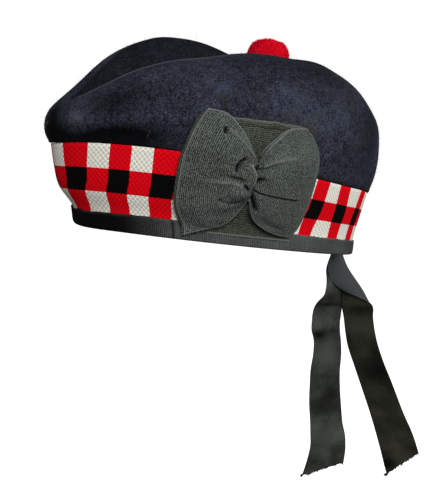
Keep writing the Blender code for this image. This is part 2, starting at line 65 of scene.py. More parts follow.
# share of length from the nose, left height, right lift, spacing, crease depth
ridgeRows = (
    (0, 0.21, 0, 0, 0), (0.08, 0.385, 0.65, 0.55, 0.35), (0.14, 0.53, 1.25, 0.72, 0.6),
    (0.23, 0.68, 1.55, 0.86, 0.9), (0.33, 0.8, 1.5, 0.94, 1), (0.43, 0.9, 0.95, 1, 1),
    (0.56, 0.975, 0.35, 1, 1), (0.64, 1, 0.1, 1, 1), (0.77, 0.935, 0, 1, 0.95),
    (0.83, 0.855, 0, 0.98, 0.8), (0.92, 0.71, 0, 0.85, 0.45), (1, 0.57, 0, 0, 0))

up = np.array([0.0, 0.0, 1.0])
smallStep = 1e-3        # for slopes, in radians or in shares


def along(rows, column, share):        # cubic through the rows of a table, slopes from the neighbours
    x, y = np.transpose(rows)[[0, column]]
    slope = np.gradient(y, x)
    share = np.clip(share, x[0], x[-1])
    i = np.clip(np.searchsorted(x, share, side="right") - 1, 0, len(x) - 2)
    step = x[i + 1] - x[i]
    u = (share - x[i]) / step
    return ((1 + 2 * u) * (1 - u) ** 2 * y[i] + u * (1 - u) ** 2 * step * slope[i]
            + u * u * (3 - 2 * u) * y[i + 1] + u * u * (u - 1) * step * slope[i + 1])


def ease(x):        # 0 to 1, level at both ends
    x = np.clip(x, 0, 1)
    return x * x * (3 - 2 * x)


def bell(x, reach):        # 1 at zero, falling off like a bell over the reach
    return np.exp(-(x / reach) ** 2)


def stripes(x, table):        # adds up bells, each with its tone, place and reach
    return sum(tone * bell(x - place, reach) for tone, place, reach in table)


def rounded(value, power):        # a power that keeps the sign
    return np.sign(value) * np.abs(value) ** power


def bezier(u, p0, p1, p2, p3):
    u = u[..., None]
    return (1 - u) ** 3 * p0 + 3 * u * (1 - u) ** 2 * p1 + 3 * u * u * (1 - u) * p2 + u ** 3 * p3


def unit(v):
    return v / np.maximum(np.linalg.norm(v, axis=-1, keepdims=True), 1e-12)


def ruler(points):        # length along each column of points, from zero
    steps = np.linalg.norm(np.diff(points, axis=0), axis=-1)
    return np.concatenate([0 * steps[:1], np.cumsum(steps, 0)])


def bandPoint(t, share):        # superellipse at each height: t turns from the forehead to the left
    front = cap["rimFront"] + cap["frontFlare"] * along(bandRows, 1, share)
    back = cap["rimLength"] - cap["rimFront"] + cap["backFlare"] * share
    side = cap["rimWidth"] / 2 + cap["sideFlare"] * along(bandRows, 2, share)
    x = side * rounded(np.sin(t), 2 / cap["outlinePower"])
    y = (back - front) / 2 - (back + front) / 2 * rounded(np.cos(t), 2 / cap["outlinePower"])
    rise = cap["rimSideRise"] + (cap["seamSideRise"] - cap["rimSideRise"]) * share
    drop = cap["rimBackDrop"] * (1 - share) * (1 - np.cos(t)) / 2
    turned = np.arccos(np.cos(t))
    drop = drop + cap["frontDip"] * bell(turned, cap["frontDipReach"])
    drop = drop + cap["seamDip"] * bell(turned - cap["seamDipAt"], cap["seamDipReach"]) * share ** 2
    return np.stack([x, y, cap["bandHeight"] * share + rise * np.sin(t) ** 2 - drop], -1)


def seamPoint(t):        # the band's upper edge
    return bandPoint(t, 1 + 0 * t)


def offFace(face, t, share, offset):        # a face's point plus its unit normal times the offset
    normal = unit(np.cross(face(t + smallStep, share) - face(t - smallStep, share),
                           face(t, share + smallStep) - face(t, share - smallStep)))
    return face(t, share) + normal * offset[..., None]


def ridgePoint(t):        # the ridges run along y; their height, spacing and lift come from the table
    share = (1 - np.cos(t)) / 2
    x = np.sign(np.sin(t)) * cap["ridgeHalfSpacing"] * along(ridgeRows, 3, share)
    lift = np.where(np.sin(t) < 0, cap["farRidgeLift"], 0) * along(ridgeRows, 2, share)
    z = cap["bandHeight"] + cap["crownRise"] * along(ridgeRows, 1, share) + lift
    return np.stack([x, noseY + (napeY - noseY) * share, z], -1)


def creasePoint(t):        # on the middle plane, under the lower of the two ridges
    left, right = ridgePoint(np.arccos(np.cos(t))), ridgePoint(-np.arccos(np.cos(t)))
    depth = cap["creaseDepth"] * along(ridgeRows, 4, (1 - np.cos(t)) / 2)
    return np.stack([0 * t, left[..., 1], np.minimum(left[..., 2], right[..., 2]) - depth], -1)


def wallPoint(t, u):        # Bezier from the seam, out over the side, to the ridge
    seam = seamPoint(t) + up * cap["gap"]
    ridge = ridgePoint(t)
    ahead = seamPoint(t + smallStep) - seamPoint(t - smallStep)
    away = unit(np.stack([ahead[..., 1], -ahead[..., 0], 0 * t], -1))
    height = (ridge - seam)[..., 2:3] * up
    level = np.linalg.norm((ridge - seam)[..., :2], axis=-1)[..., None]
    lower = seam + height * cap["wallRise"] + away * cap["sideBulge"]
    upper = ridge + away * level * cap["wallReach"] - height * cap["wallDrop"]
    return bezier(u, seam, lower, upper, ridge)


def foldPoint(t, u):        # Bezier from the ridge down into the crease
    ridge, crease = ridgePoint(t), creasePoint(t)
    way = crease - ridge
    level = way * (1 - up)
    return bezier(u, ridge, ridge + level * cap["foldReach"], crease - way * cap["creaseReach"], crease)


def capPoint(t, q):        # 0 to 1 up the band, 1 to 2 up the crown's wall
    band, wall = bandPoint(t, np.clip(q, 0, 1)), wallPoint(t, np.clip(q - 1, 0, 1))
    return np.where(q[..., None] <= 1, band, wall)


def worn(points):        # tips the cap back about the x axis
    tilt = math.radians(cap["tiltDeg"])
    c, s = math.cos(tilt), math.sin(tilt)
    x, y, z = points[..., 0], points[..., 1], points[..., 2]
    return np.stack([x, y * c + z * s, z * c - y * s], -1)


# Meshes from grids of points

def surface(name, points, uv=None, shade=None, closeRows=False, closeColumns=False, weld=False, flip=False):
    # one quad for each cell of the grid; uv has one more row or column where the grid closes
    # shade is painted light: from -1, a painted highlight, to 1, painted shade as dark as in a deep fold
    rows, columns = points.shape[:2]
    r, c = np.meshgrid(np.arange(rows if closeRows else rows - 1),
                       np.arange(columns if closeColumns else columns - 1), indexing="ij")
    corners = [(r, c), (r, c + 1), (r + 1, c + 1), (r + 1, c)]
    if flip:
        corners = corners[::-1]
    quads = np.stack([(i % rows) * columns + j % columns for i, j in corners], -1).reshape(-1, 4)
    mesh = bpy.data.meshes.new(name)
    mesh.from_pydata(points.reshape(-1, 3).tolist(), [], quads.tolist())
    if shade is not None:
        values = np.clip(shade, -1, 1).ravel()
        mesh.attributes.new("shade", "FLOAT", "POINT").data.foreach_set("value", values)
    if uv is not None:
        loops = np.stack([uv[i, j] for i, j in corners], -2).reshape(-1, 2)
        mesh.uv_layers.new(name="UVMap").data.foreach_set("uv", loops.ravel())
    if weld:
        bm = bmesh.new()
        bm.from_mesh(mesh)
        bmesh.ops.remove_doubles(bm, verts=bm.verts, dist=2e-6)
        bmesh.ops.dissolve_degenerate(bm, edges=bm.edges, dist=1e-7)
        bm.to_mesh(mesh)
        bm.free()
    mesh.shade_smooth()
    return addObject(name, mesh)


def addObject(name, data):
    made = bpy.data.objects.new(name, data)
    bpy.context.scene.collection.objects.link(made)
    return made


def thicken(piece, wall, offset=-1):
    modifier = piece.modifiers.new("cloth", "SOLIDIFY")
    modifier.thickness = wall
    modifier.offset = offset


def dress(piece, finish, slot, *nodes):
    piece.data.materials.append(finish)
    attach(piece, "root")
    if nodes:
        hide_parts(*nodes)


def gridNormals(points):        # of a grid that closes along its columns
    return unit(np.cross(np.roll(points, -1, 1) - np.roll(points, 1, 1), np.gradient(points, axis=0)))


def ripple(points, size, seed, waves=7):        # sine waves of about one size in chance directions, -1 to 1
    dice = np.random.default_rng(seed)
    total = 0
    for i in range(waves):
        direction = unit(dice.normal(size=3))
        turns = 2 * math.pi / (size * dice.uniform(0.7, 1.4))
        total = total + np.sin(points @ direction * turns + dice.uniform(0, 6.28))
    return total / math.sqrt(waves) / 1.4


def strands(name, roots, ways, lengths, radius, curl, seed, rings=3, sides=3, taper=0.6):
    # thin tapered tubes: root plus way, bent sideways by the curl times the square of the share
    dice = np.random.default_rng(seed)
    count = len(roots)
    share = np.linspace(0, 1, rings)[None, :, None]
    side = unit(np.cross(ways, dice.normal(size=(count, 3))))
    other = np.cross(ways, side)
    bend = side * (curl * lengths)[:, None]
    centre = roots[:, None] + ways[:, None] * lengths[:, None, None] * share + bend[:, None] * share ** 2
    turn = np.arange(sides) * 2 * math.pi / sides
    ring = side[:, None, None] * np.cos(turn)[:, None] + other[:, None, None] * np.sin(turn)[:, None]
    points = centre[:, :, None] + ring * (radius * (1 - taper * share))[..., None]
    base = (np.arange(count) * rings * sides)[:, None, None]
    k, j = np.meshgrid(np.arange(rings - 1), np.arange(sides), indexing="ij")
    after = (j + 1) % sides
    corners = [k * sides + j, k * sides + after, (k + 1) * sides + after, (k + 1) * sides + j]
    quads = np.stack(corners, -1).reshape(1, -1, 4) + base
    caps = np.stack([np.arange(sides)[::-1], np.arange(sides) + (rings - 1) * sides])[None] + base
    mesh = bpy.data.meshes.new(name)
    faces = quads.reshape(-1, 4).tolist() + caps.reshape(-1, sides).tolist()
    mesh.from_pydata(points.reshape(-1, 3).tolist(), [], faces)
    mesh.shade_smooth()
    return addObject(name, mesh)


# Finishes

class Wire:        # one output socket; arithmetic on wires adds Math nodes
    def __init__(self, tree, socket=None):
        self.tree = tree
        self.socket = socket

    def node(self, kind, settings=None, values=None, out=0):
        made = self.tree.nodes.new(kind)
        for key, value in (settings or {}).items():
            setattr(made, key, value)
        for key, value in (values or {}).items():
            if isinstance(value, Wire):
                self.tree.links.new(value.socket, made.inputs[key])
            else:
                made.inputs[key].default_value = value
        return Wire(self.tree, made.outputs[out] if made.outputs else None)

    def other(self, out):
        return Wire(self.tree, self.socket.node.outputs[out])

    def maths(self, operation, *values):
        return self.node("ShaderNodeMath", {"operation": operation}, dict(enumerate(values)))

    def __add__(self, value):
        return self.maths("ADD", self, value)

    def __sub__(self, value):
        return self.maths("SUBTRACT", self, value)

    def __rsub__(self, value):
        return self.maths("SUBTRACT", value, self)

    def __mul__(self, value):
        return self.maths("MULTIPLY", self, value)

    def __gt__(self, value):
        return self.maths("GREATER_THAN", self, value)

    def __lt__(self, value):
        return self.maths("LESS_THAN", self, value)

    def sine(self):
        return self.maths("SINE", self)

    def clear(self):        # kept between 0 and 1
        return self.node("ShaderNodeClamp", {}, {0: self})

    def swing(self, gain):        # 0 to 1 becomes half the gain either way
        return (self - 0.5) * gain

    def noise(self, scale, detail=2, rough=0.5):        # self is the coordinates
        values = {"Vector": self, "Scale": scale, "Detail": detail, "Roughness": rough}
        return self.node("ShaderNodeTexNoise", {}, values)

    def mix(self, first, second):        # self is the factor, the others are wires or red, green and blue
        first, second = [x if isinstance(x, Wire) else (*x, 1) for x in (first, second)]
        return self.node("ShaderNodeMix", {"data_type": "RGBA"}, {0: self, 6: first, 7: second}, out=2)

    def bump(self, height, strength):        # self is the relief, height its depth in metres
        values = {"Strength": strength, "Distance": height, "Height": self}
        return self.node("ShaderNodeBump", {}, values)

    def shaded(self, look, deepest=0.96):        # self is a colour; the mesh's shade attribute paints it pale, a painted highlight, or deep, painted shade
        shade = self.node("ShaderNodeAttribute", {"attribute_name": "shade"}, out=2)
        paled = (shade * -1).clear().mix(self, look["pale"])
        return (shade * deepest).clear().mix(paled, look["deep"])


def newFinish(name):
    material = bpy.data.materials.new(name)
    material.use_nodes = True
    material.node_tree.nodes.clear()
    return material, Wire(material.node_tree)


def closeFinish(start, body, roughness, gloss, values):
    values = {"Base Color": body, "Roughness": roughness, "Specular IOR Level": gloss, **values}
    shader = start.node("ShaderNodeBsdfPrincipled", {}, values)
    start.node("ShaderNodeOutputMaterial", {}, {"Surface": shader})


# Each noise is scale, detail and roughness; tones say how strongly it counts; colours are red, green and blue

feltLook = {
    "nap": (1100, 3, 0.75), "napTone": 3.6, "blotch": (260, 4, 0.75), "blotchTone": 1.7,
    "cloud": (30, 3), "cloudTone": 1.1, "level": 0.43,
    "tint": 75, "tintFrom": 0.52, "tintGain": 4, "tintMost": 0.45,
    "speck": (800, 1), "speckFrom": 0.68, "speckGain": 12, "speckMost": 0.5,
    "napRelief": 0.6, "blotchRelief": 0.8, "relief": 0.001,
    "dark": (0.003, 0.0035, 0.0058), "light": (0.042, 0.047, 0.072),
    "moss": (0.016, 0.019, 0.013), "lint": (0.1, 0.11, 0.13),
    # deep and pale are the colours of the mesh's painted shade and painted highlight
    "deep": (0.0008, 0.0008, 0.0009), "pale": (0.115, 0.125, 0.155),
}


def readUv(start):        # the coordinates, and their two parts
    uv = start.node("ShaderNodeUVMap", {"uv_map": "UVMap"})
    split = start.node("ShaderNodeSeparateXYZ", {}, {0: uv})
    return uv, split.other("X"), split.other("Y")


def feltFinish(look):        # mottled navy: clouds, blotches and a fine nap, with mossy patches and lint
    material, start = newFinish("navyFelt")
    place = start.node("ShaderNodeTexCoord", out="Object")
    nap, blotch, cloud = place.noise(*look["nap"]), place.noise(*look["blotch"]), place.noise(*look["cloud"])
    tone = nap.swing(look["napTone"]) + blotch.swing(look["blotchTone"])
    tone = tone + cloud.swing(look["cloudTone"]) + look["level"]
    navy = tone.clear().mix(look["dark"], look["light"])
    tint = ((place.noise(look["tint"]) - look["tintFrom"]) * look["tintGain"]).clear() * look["tintMost"]
    specks = ((place.noise(*look["speck"]) - look["speckFrom"]) * look["speckGain"]).clear()
    body = (specks * look["speckMost"]).mix(tint.mix(navy, look["moss"]), look["lint"])
    relief = nap * look["napRelief"] + blotch * look["blotchRelief"]
    normal = relief.bump(look["relief"], strength=0.9)
    closeFinish(start, body.shaded(look), roughness=1, gloss=0.06, values={"Normal": normal})
    return material


woolLook = {
    # noise that moves the edges of the squares, and how far, in squares; threads to each square
    "column": (14, 1), "columnWander": 0.09, "row": (12, 1), "rowWander": 0.08, "threads": 4.5,
    "fuzz": 45, "fuzzTone": 0.9, "contrast": 1.2, "level": 0.2, "relief": 0.0004,
    "red": (0.6, 0.002, 0.007), "white": (0.68, 0.665, 0.595), "black": (0.003, 0.0028, 0.0027),
    "redDeep": (0.34, 0.0012, 0.004), "whiteDeep": (0.32, 0.31, 0.27), "blackDeep": (0.0008, 0.0008, 0.0008),
}


def dicedFinish(look):        # UV counts squares: column and row pick the colour, sines weave it
    material, start = newFinish("dicedWool")
    uv, u, v = readUv(start)
    column = (u + uv.noise(*look["column"]).swing(look["columnWander"])) * 0.5
    odd = column.maths("FRACT", column) > 0.5
    row = v + uv.noise(*look["row"]).swing(look["rowWander"])
    middle = (row > 1) * (row < 2)
    white = (1 - odd) * (1 - middle)
    black = odd * middle
    turns = 2 * math.pi * look["threads"]
    woven = (u * turns).sine() * (v * turns).sine()
    lift = woven * 0.5 + 0.5 + uv.noise(look["fuzz"]).swing(look["fuzzTone"])
    high = black.mix(white.mix(look["red"], look["white"]), look["black"])
    deep = black.mix(white.mix(look["redDeep"], look["whiteDeep"]), look["blackDeep"])
    body = (lift * look["contrast"] + look["level"]).clear().mix(deep, high)
    normal = lift.bump(look["relief"], strength=0.7)
    closeFinish(start, body, roughness=0.95, gloss=0.02, values={"Normal": normal})
    return material


# the weave that all ribbons share: shares of the pitch, noise scales, tones and reliefs
weave = {"wander": 0.7, "wanderScale": 240, "threadPitch": 0.8, "threadShift": 2, "threadTone": 0.22,
         "grainScale": 1500, "threadRelief": 0.4, "grainRelief": 0.5}
# each look's deep and pale are the colours that painted shade and painted highlights turn the ribbon to
cockadeBase = {"cloud": 0.5, "cloudScale": 60, "gloss": 0.07, "deep": (0.0014, 0.0013, 0.0011)}
tailBase = {"pitch": 0.0009, "across": True, "ribs": 0.14, "cloudScale": 45, "relief": 0.00008, "gloss": 0.08,
            "deep": (0.0012, 0.0012, 0.001)}
ribbonLooks = {
    "binding": {"pitch": 0.00115, "across": False, "ribs": 0.5, "grain": 1.2, "cloud": 0.7, "cloudScale": 45,
                "level": 0.1, "relief": 0.00025, "gloss": 0.03, "dark": (0.01, 0.01, 0.0105),
                "light": (0.09, 0.094, 0.095), "pale": (0.12, 0.125, 0.12), "deep": (0.001, 0.0006, 0.0005)},
    "cockade": {**cockadeBase, "pitch": 0.00105, "across": False, "ribs": 0.62, "grain": 2.5, "level": 0,
                "relief": 0.00022, "dark": (0.0065, 0.0085, 0.007), "light": (0.11, 0.126, 0.116),
                "pale": (0.2, 0.215, 0.195)},
    "panel": {**cockadeBase, "pitch": 0.0011, "across": True, "ribs": 0.6, "grain": 2.2, "level": -0.05,
              "relief": 0.00024, "dark": (0.006, 0.008, 0.0052), "light": (0.082, 0.096, 0.073),
              "pale": (0.17, 0.185, 0.165)},
    "tailLeft": {**tailBase, "grain": 1.5, "cloud": 2, "level": 0.28, "dark": (0.0056, 0.0063, 0.0053),
                 "light": (0.056, 0.062, 0.055), "pale": (0.07, 0.077, 0.07)},
    # the right tail's look is a dimmer, browner copy of the left's: the dimming is painted shade, as that
    # tail turns away from the light
    "tailRight": {**tailBase, "grain": 1.4, "cloud": 1.8, "level": 0.26, "dark": (0.0052, 0.005, 0.0035),
                  "light": (0.042, 0.041, 0.029), "pale": (0.056, 0.056, 0.046)},
    "flap": {**tailBase, "ribs": 0.07, "grain": 0.5, "cloud": 0.6, "level": 0.32, "relief": 0.00005,
             "dark": (0.024, 0.027, 0.027), "light": (0.058, 0.066, 0.067), "pale": (0.09, 0.1, 0.095)},
}


def ribbonFinish(name, look):
    # UV is in metres; ribs are a sine along u, or along v where across is set, broken up by noise
    material, start = newFinish(name)
    place = start.node("ShaderNodeTexCoord", out="Object")
    line, cross = readUv(start)[1:]
    if look["across"]:
        line, cross = cross, line
    wander = place.noise(weave["wanderScale"]).swing(look["pitch"] * weave["wander"])
    ribs = ((line + wander) * (2 * math.pi / look["pitch"])).sine() * 0.5 + 0.5
    weftTurns = 2 * math.pi / (look["pitch"] * weave["threadPitch"])
    weft = (cross * weftTurns + ribs.swing(weave["threadShift"])).sine() * 0.5 + 0.5
    cloud = place.noise(look["cloudScale"], 3).swing(look["cloud"])
    grain = place.noise(weave["grainScale"])
    tone = ribs * look["ribs"] + weft * weave["threadTone"] + grain.swing(look["grain"])
    tone = tone + cloud + look["level"]
    relief = ribs + weft * weave["threadRelief"] + grain * weave["grainRelief"]
    body = tone.clear().mix(look["dark"], look["light"]).shaded(look)
    normal = relief.bump(look["relief"], strength=0.8)
    closeFinish(start, body, roughness=0.85, gloss=look["gloss"], values={"Normal": normal})
    return material


redLook = {"tuft": (620, 3, 0.7), "tuftTone": 1.6, "clump": 190, "clumpTone": 1, "relief": 0.0009,
           "dark": (0.34, 0.001, 0.005), "light": (0.8, 0.0035, 0.019)}


def redWoolFinish(look):
    material, start = newFinish("redWool")
    place = start.node("ShaderNodeTexCoord", out="Object")
    tuft, clump = place.noise(*look["tuft"]), place.noise(look["clump"])
    tone = tuft.swing(look["tuftTone"]) + clump.swing(look["clumpTone"]) + 0.5
    body = tone.clear().mix(look["dark"], look["light"])
    normal = (tuft + clump).bump(look["relief"], strength=0.8)
    closeFinish(start, body, roughness=1, gloss=0.05, values={"Normal": normal})
    return material


def threadFinish(name, body):        # from half as bright to the colour itself
    material, start = newFinish(name)
    place = start.node("ShaderNodeTexCoord", out="Object")
    dim = [x * 0.5 for x in body]
    mottled = place.noise(scale=900, detail=1).mix(dim, body)
    closeFinish(start, mottled, roughness=1, gloss=0.05, values={})
    return material


threadColours = {
    "feltHair": (0.034, 0.038, 0.054), "paleHair": (0.26, 0.27, 0.28), "redHair": (0.8, 0.004, 0.022),
    "darkThread": (0.1, 0.11, 0.1), "tailThread": (0.012, 0.012, 0.012),
}
felt = feltFinish(feltLook)
diced = dicedFinish(woolLook)
ribbons = {key: ribbonFinish(key + "Ribbon", look) for key, look in ribbonLooks.items()}
redWool = redWoolFinish(redLook)
threads = {name: threadFinish(name, body) for name, body in threadColours.items()}
print("finishes made")


# Crown

crown = {
    "around": 360, "wallRows": 60, "foldRows": 20, "crowding": 1.15, "wall": 0.002,
    # waves that fade out towards the seam and the crease over these shares, and the lip over the seam
    "soft": 0.0006, "softSize": 0.045, "seamStill": 0.05, "creaseStill": 0.6, "lip": 0.0006, "lipReach": 0.02,
    # angle and share of height of each soft dent, its reach in degrees and in height, its depth
    "dents": ((44, 0.09, 17, 0.1, 0.0036), (14, 0.3, 9, 0.13, -0.0016), (75, 0.55, 25, 0.25, 0.001),
              (135, 0.35, 20, 0.3, 0.001), (-50, 0.1, 20, 0.12, 0.003), (-130, 0.4, 25, 0.3, 0.0014)),
    # angle, share of height, reaches and darkness of each place where shade is painted on the felt, a painted
    # highlight where the darkness is negative
    "paintedShadeSpots": ((36, 0.12, 16, 0.09, 1), (34, 0.04, 24, 0.08, 0.7), (-46, 0.06, 26, 0.07, 0.5),
               (8, 0.3, 10, 0.7, 0.95), (39, 0.49, 9, 0.13, 0.6), (38, 0.32, 14, 0.12, 0.35),
               (-10, 0.8, 14, 0.4, 0.5), (124, 0.4, 9, 0.4, 0.65), (12, 0.45, 6, 0.5, 0.5),
               (84, 0.76, 15, 0.12, 0.45), (103, 0.66, 9, 0.12, 0.35), (24, 0.36, 5, 0.13, -0.45)),
    # angle, share of height and tone of the crest below the left ridge: painted highlight where the tone is
    # negative, painted shade where it is positive
    "crest": ((20, 0.8, 0), (34, 0.82, -0.55), (46, 0.86, -0.65), (58, 0.89, -0.65), (70, 0.905, -0.4),
              (82, 0.9, 0.2), (95, 0.88, 0.55), (110, 0.82, 0.65), (122, 0.73, 0.65), (138, 0.6, 0.3),
              (150, 0.6, 0)),
    # painted shadow along the seam under the felt's overhang, and painted shade in the fold above the ridges
    "crestReach": 0.05, "seamShadow": 0.35, "seamReach": 0.03, "foldShade": 0.7, "foldReach": 0.15,
    "nap": {"count": 5200, "length": 0.0014, "radius": 0.00007, "lean": 0.9, "curl": 0.5, "seed": 11,
            "low": 2},
    "lint": {"count": 110, "length": 0.0055, "radius": 0.00005, "lean": 3, "curl": 0.5, "seed": 12,
             "low": 3, "high": 70},
}


def crownGrid():        # the wall and the fold, moved along their normals by soft waves and dents
    t = np.arange(crown["around"]) * 2 * math.pi / crown["around"]
    u = np.linspace(0, 1, crown["wallRows"] + 1) ** crown["crowding"]
    v = np.linspace(0, 1, crown["foldRows"] + 1)[1:]
    wallT, wallU = np.meshgrid(t, u)
    foldT, foldV = np.meshgrid(t, v)
    points = np.concatenate([wallPoint(wallT, wallU), foldPoint(foldT, foldV)])
    angle = np.degrees(np.concatenate([wallT, foldT]))
    height = np.concatenate([wallU, 1 + foldV])

    def spots(table):        # the sum of the table's last column, each spread like a bell round its place
        total = 0
        for toAngle, toHeight, reach, tall, amount in table:
            turned = (angle - toAngle + 180) % 360 - 180
            total = total + amount * (bell(turned, reach) * bell(height - toHeight, tall))
        return total

    move = crown["soft"] * ripple(points, crown["softSize"], 3) - spots(crown["dents"])
    keep = ease(height / crown["seamStill"]) * ease((2 - height) / crown["creaseStill"])
    move = move * keep + crown["lip"] * bell(height - crown["lipReach"], crown["lipReach"])
    crestAngle, crestHeight, crestTone = np.transpose(crown["crest"])
    toCrest = height - np.interp(angle, crestAngle, crestHeight)
    shade = crown["seamShadow"] * bell(height, crown["seamReach"])
    shade = shade + crown["foldShade"] * ease((height - 1) / crown["foldReach"]) + spots(crown["paintedShadeSpots"])
    shade = shade + np.interp(angle, crestAngle, crestTone) * bell(toCrest, crown["crestReach"])
    normal = gridNormals(points)
    return worn(points + normal * move[..., None]), worn(normal), shade


def scatter(points, normals, count, seed, low, high):        # places spread by chance over a grid's rows
    dice = np.random.default_rng(seed)
    across = np.roll(points, -1, 1)[low:high] - points[low:high]
    area = np.linalg.norm(np.cross(across, points[low + 1:high + 1] - points[low:high]), axis=-1)
    cell = dice.choice(area.size, count, p=(area / area.sum()).ravel())
    r, c = np.unravel_index(cell, area.shape)
    r = r + low
    c2 = (c + 1) % points.shape[1]
    a, b = dice.random((2, count, 1))
    place = (points[r, c] * (1 - a) * (1 - b) + points[r, c2] * a * (1 - b)
             + points[r + 1, c] * (1 - a) * b + points[r + 1, c2] * a * b)
    return place, normals[r, c]


fur = {"sunk": 0.0002, "leastRise": 0.15, "shortest": 0.5, "longest": 1.3}


def furOn(name, points, normals, count, length, radius, lean, curl, seed, low=0, high=None):
    dice = np.random.default_rng(seed + 100)
    place, normal = scatter(points, normals, count, seed, low, high or len(points) - 1)
    way = unit(normal + dice.normal(size=(count, 3)) * lean)
    way = unit(way + normal * np.maximum(fur["leastRise"] - (way * normal).sum(-1, keepdims=True), 0))
    lengths = length * dice.uniform(fur["shortest"], fur["longest"], count)
    return strands(name, place - normal * fur["sunk"], way, lengths, radius, curl, seed)


crownPoints, crownNormals, crownShade = crownGrid()
crownPiece = surface("crownFelt", crownPoints, shade=crownShade, closeColumns=True, weld=True)
thicken(crownPiece, crown["wall"])
dress(crownPiece, felt, "navy_felt", "crown")
dress(furOn("feltNap", crownPoints, crownNormals, **crown["nap"]), threads["feltHair"], "navy_felt")
dress(furOn("feltLint", crownPoints, crownNormals, **crown["lint"]), threads["paleHair"], "navy_felt")
print("crown made")


# Diced band

band = {
    "around": 720, "rows": 22, "columns": 48, "firstColumn": 0.0069, "rowHeight": 0.0123, "foot": 0.0013,
    # depth below the seam in mm, with length along it in mm and how many columns the weave is pulled there
    "pulled": (
        (6, ((0, 0.74), (16.2, 0.288), (36, -0.228), (49.5, -0.262), (61.5, -0.181), (73, -0.061),
             (87, -0.133), (140, 0.1), (185.3, 0.34), (197.6, 0.398), (211.4, 0.342), (231, -0.05), (260, 0),
             (520, 0), (600, 0.58), (629, 0.74))),
        (19, ((0, 0.65), (15.9, 0.311), (34.1, -0.083), (47.6, -0.116), (59.9, -0.058), (71.9, 0.023),
              (85, 0.02), (140, 0.2), (185, 0.363), (199.2, 0.275), (214.1, 0.135), (228.6, 0.024), (260, 0),
              (520, 0), (600, 0.59), (629, 0.65))),
        (31, ((0, 1), (13, 0.8), (26.5, 0.499), (42.3, 0.32), (55.2, 0.33), (66.6, 0.4), (80.2, 0.4),
              (140, 0.5), (180, 0.76), (198.9, 0.33), (211.1, 0.3), (234.5, 0), (260, 0), (520, 0),
              (600, 0.7), (629, 1)))),
}


def seamArc(t):        # length along the seam from the forehead, by adding up short chords
    fine = np.linspace(0, 2 * math.pi, 2881)
    lengths = ruler(seamPoint(fine))
    return np.interp(t, fine, lengths), lengths[-1]


def buildBand():        # outer face upwards, then inner face downwards, closed all round
    t = np.linspace(0, 2 * math.pi, band["around"] + 1)
    share = np.linspace(band["foot"] / cap["bandHeight"], 1, band["rows"])
    share = np.concatenate([share, share[::-1]])
    offset = np.repeat([0, -cap["bandWall"]], band["rows"])
    arc, around = seamArc(t)
    depth = cap["bandHeight"] * (1 - np.append(share, share[0]))[:, None]
    pulls = [(d, np.interp(arc * 1000, *np.transpose(table))) for d, table in band["pulled"]]
    (d0, top), (d1, middle), (d2, low) = pulls
    upper = top + (middle - top) * np.clip((depth * 1000 - d0) / (d1 - d0), -0.5, 1)
    pulled = upper + (low - middle) * np.maximum((depth * 1000 - d1) / (d2 - d1), 0)
    u = (arc - band["firstColumn"]) / (around / band["columns"]) + pulled
    uv = np.stack([u, np.broadcast_to(depth / band["rowHeight"], u.shape)], -1)
    gridT, gridShare = np.meshgrid(t, share)
    points = offFace(bandPoint, gridT, gridShare, np.repeat(offset[:, None], len(t), 1))
    return surface("dicedBand", worn(points[:, :-1]), uv, closeRows=True, closeColumns=True)


bandPiece = buildBand()
dress(bandPiece, diced, "diced_wool", "diced_band")
print("band made")


# Rim binding

binding = {
    "around": 720,
    # waves in its face, fading out at its foot, and in its upper edge; everything past the offset is its face
    "ripple": 0.00022, "rippleSize": 0.009, "footStill": 0.003, "topRipple": 0.0003, "topSize": 0.012,
    "height": 0.01, "faceFrom": 0.0006,
    # where the ribbon's ends meet, and where painted shade darkens the front, in metres along the seam
    "joint": 0.0785, "jointReach": 0.0007, "jointDepth": 0.0004, "jointDark": 0.9,
    "shadeFrom": 0.045, "shadeUntil": 0.088,
    "edgeAt": 0.0099, "edgeReach": 0.0005, "edgePale": 0.35,
    # offset from the band's face and height, in mm, once round the folded ribbon
    "section": ((1.35, 1.2), (1.5, 3.2), (1.45, 6.2), (1.32, 8.9), (1.12, 10.1), (0.72, 10.4), (0.38, 10),
                (0.32, 8), (0.32, 4.5), (0.32, 1.6), (-0.2, 1), (-1.2, 0.95), (-2.1, 1.05), (-2.32, 1.7),
                (-2.32, 5), (-2.35, 9.6), (-2.6, 10.3), (-3.1, 10.3), (-3.3, 9.5), (-3.4, 5), (-3.2, 1.3),
                (-2.5, 0.35), (-1, 0), (0.4, 0.15), (1.05, 0.55)),
}


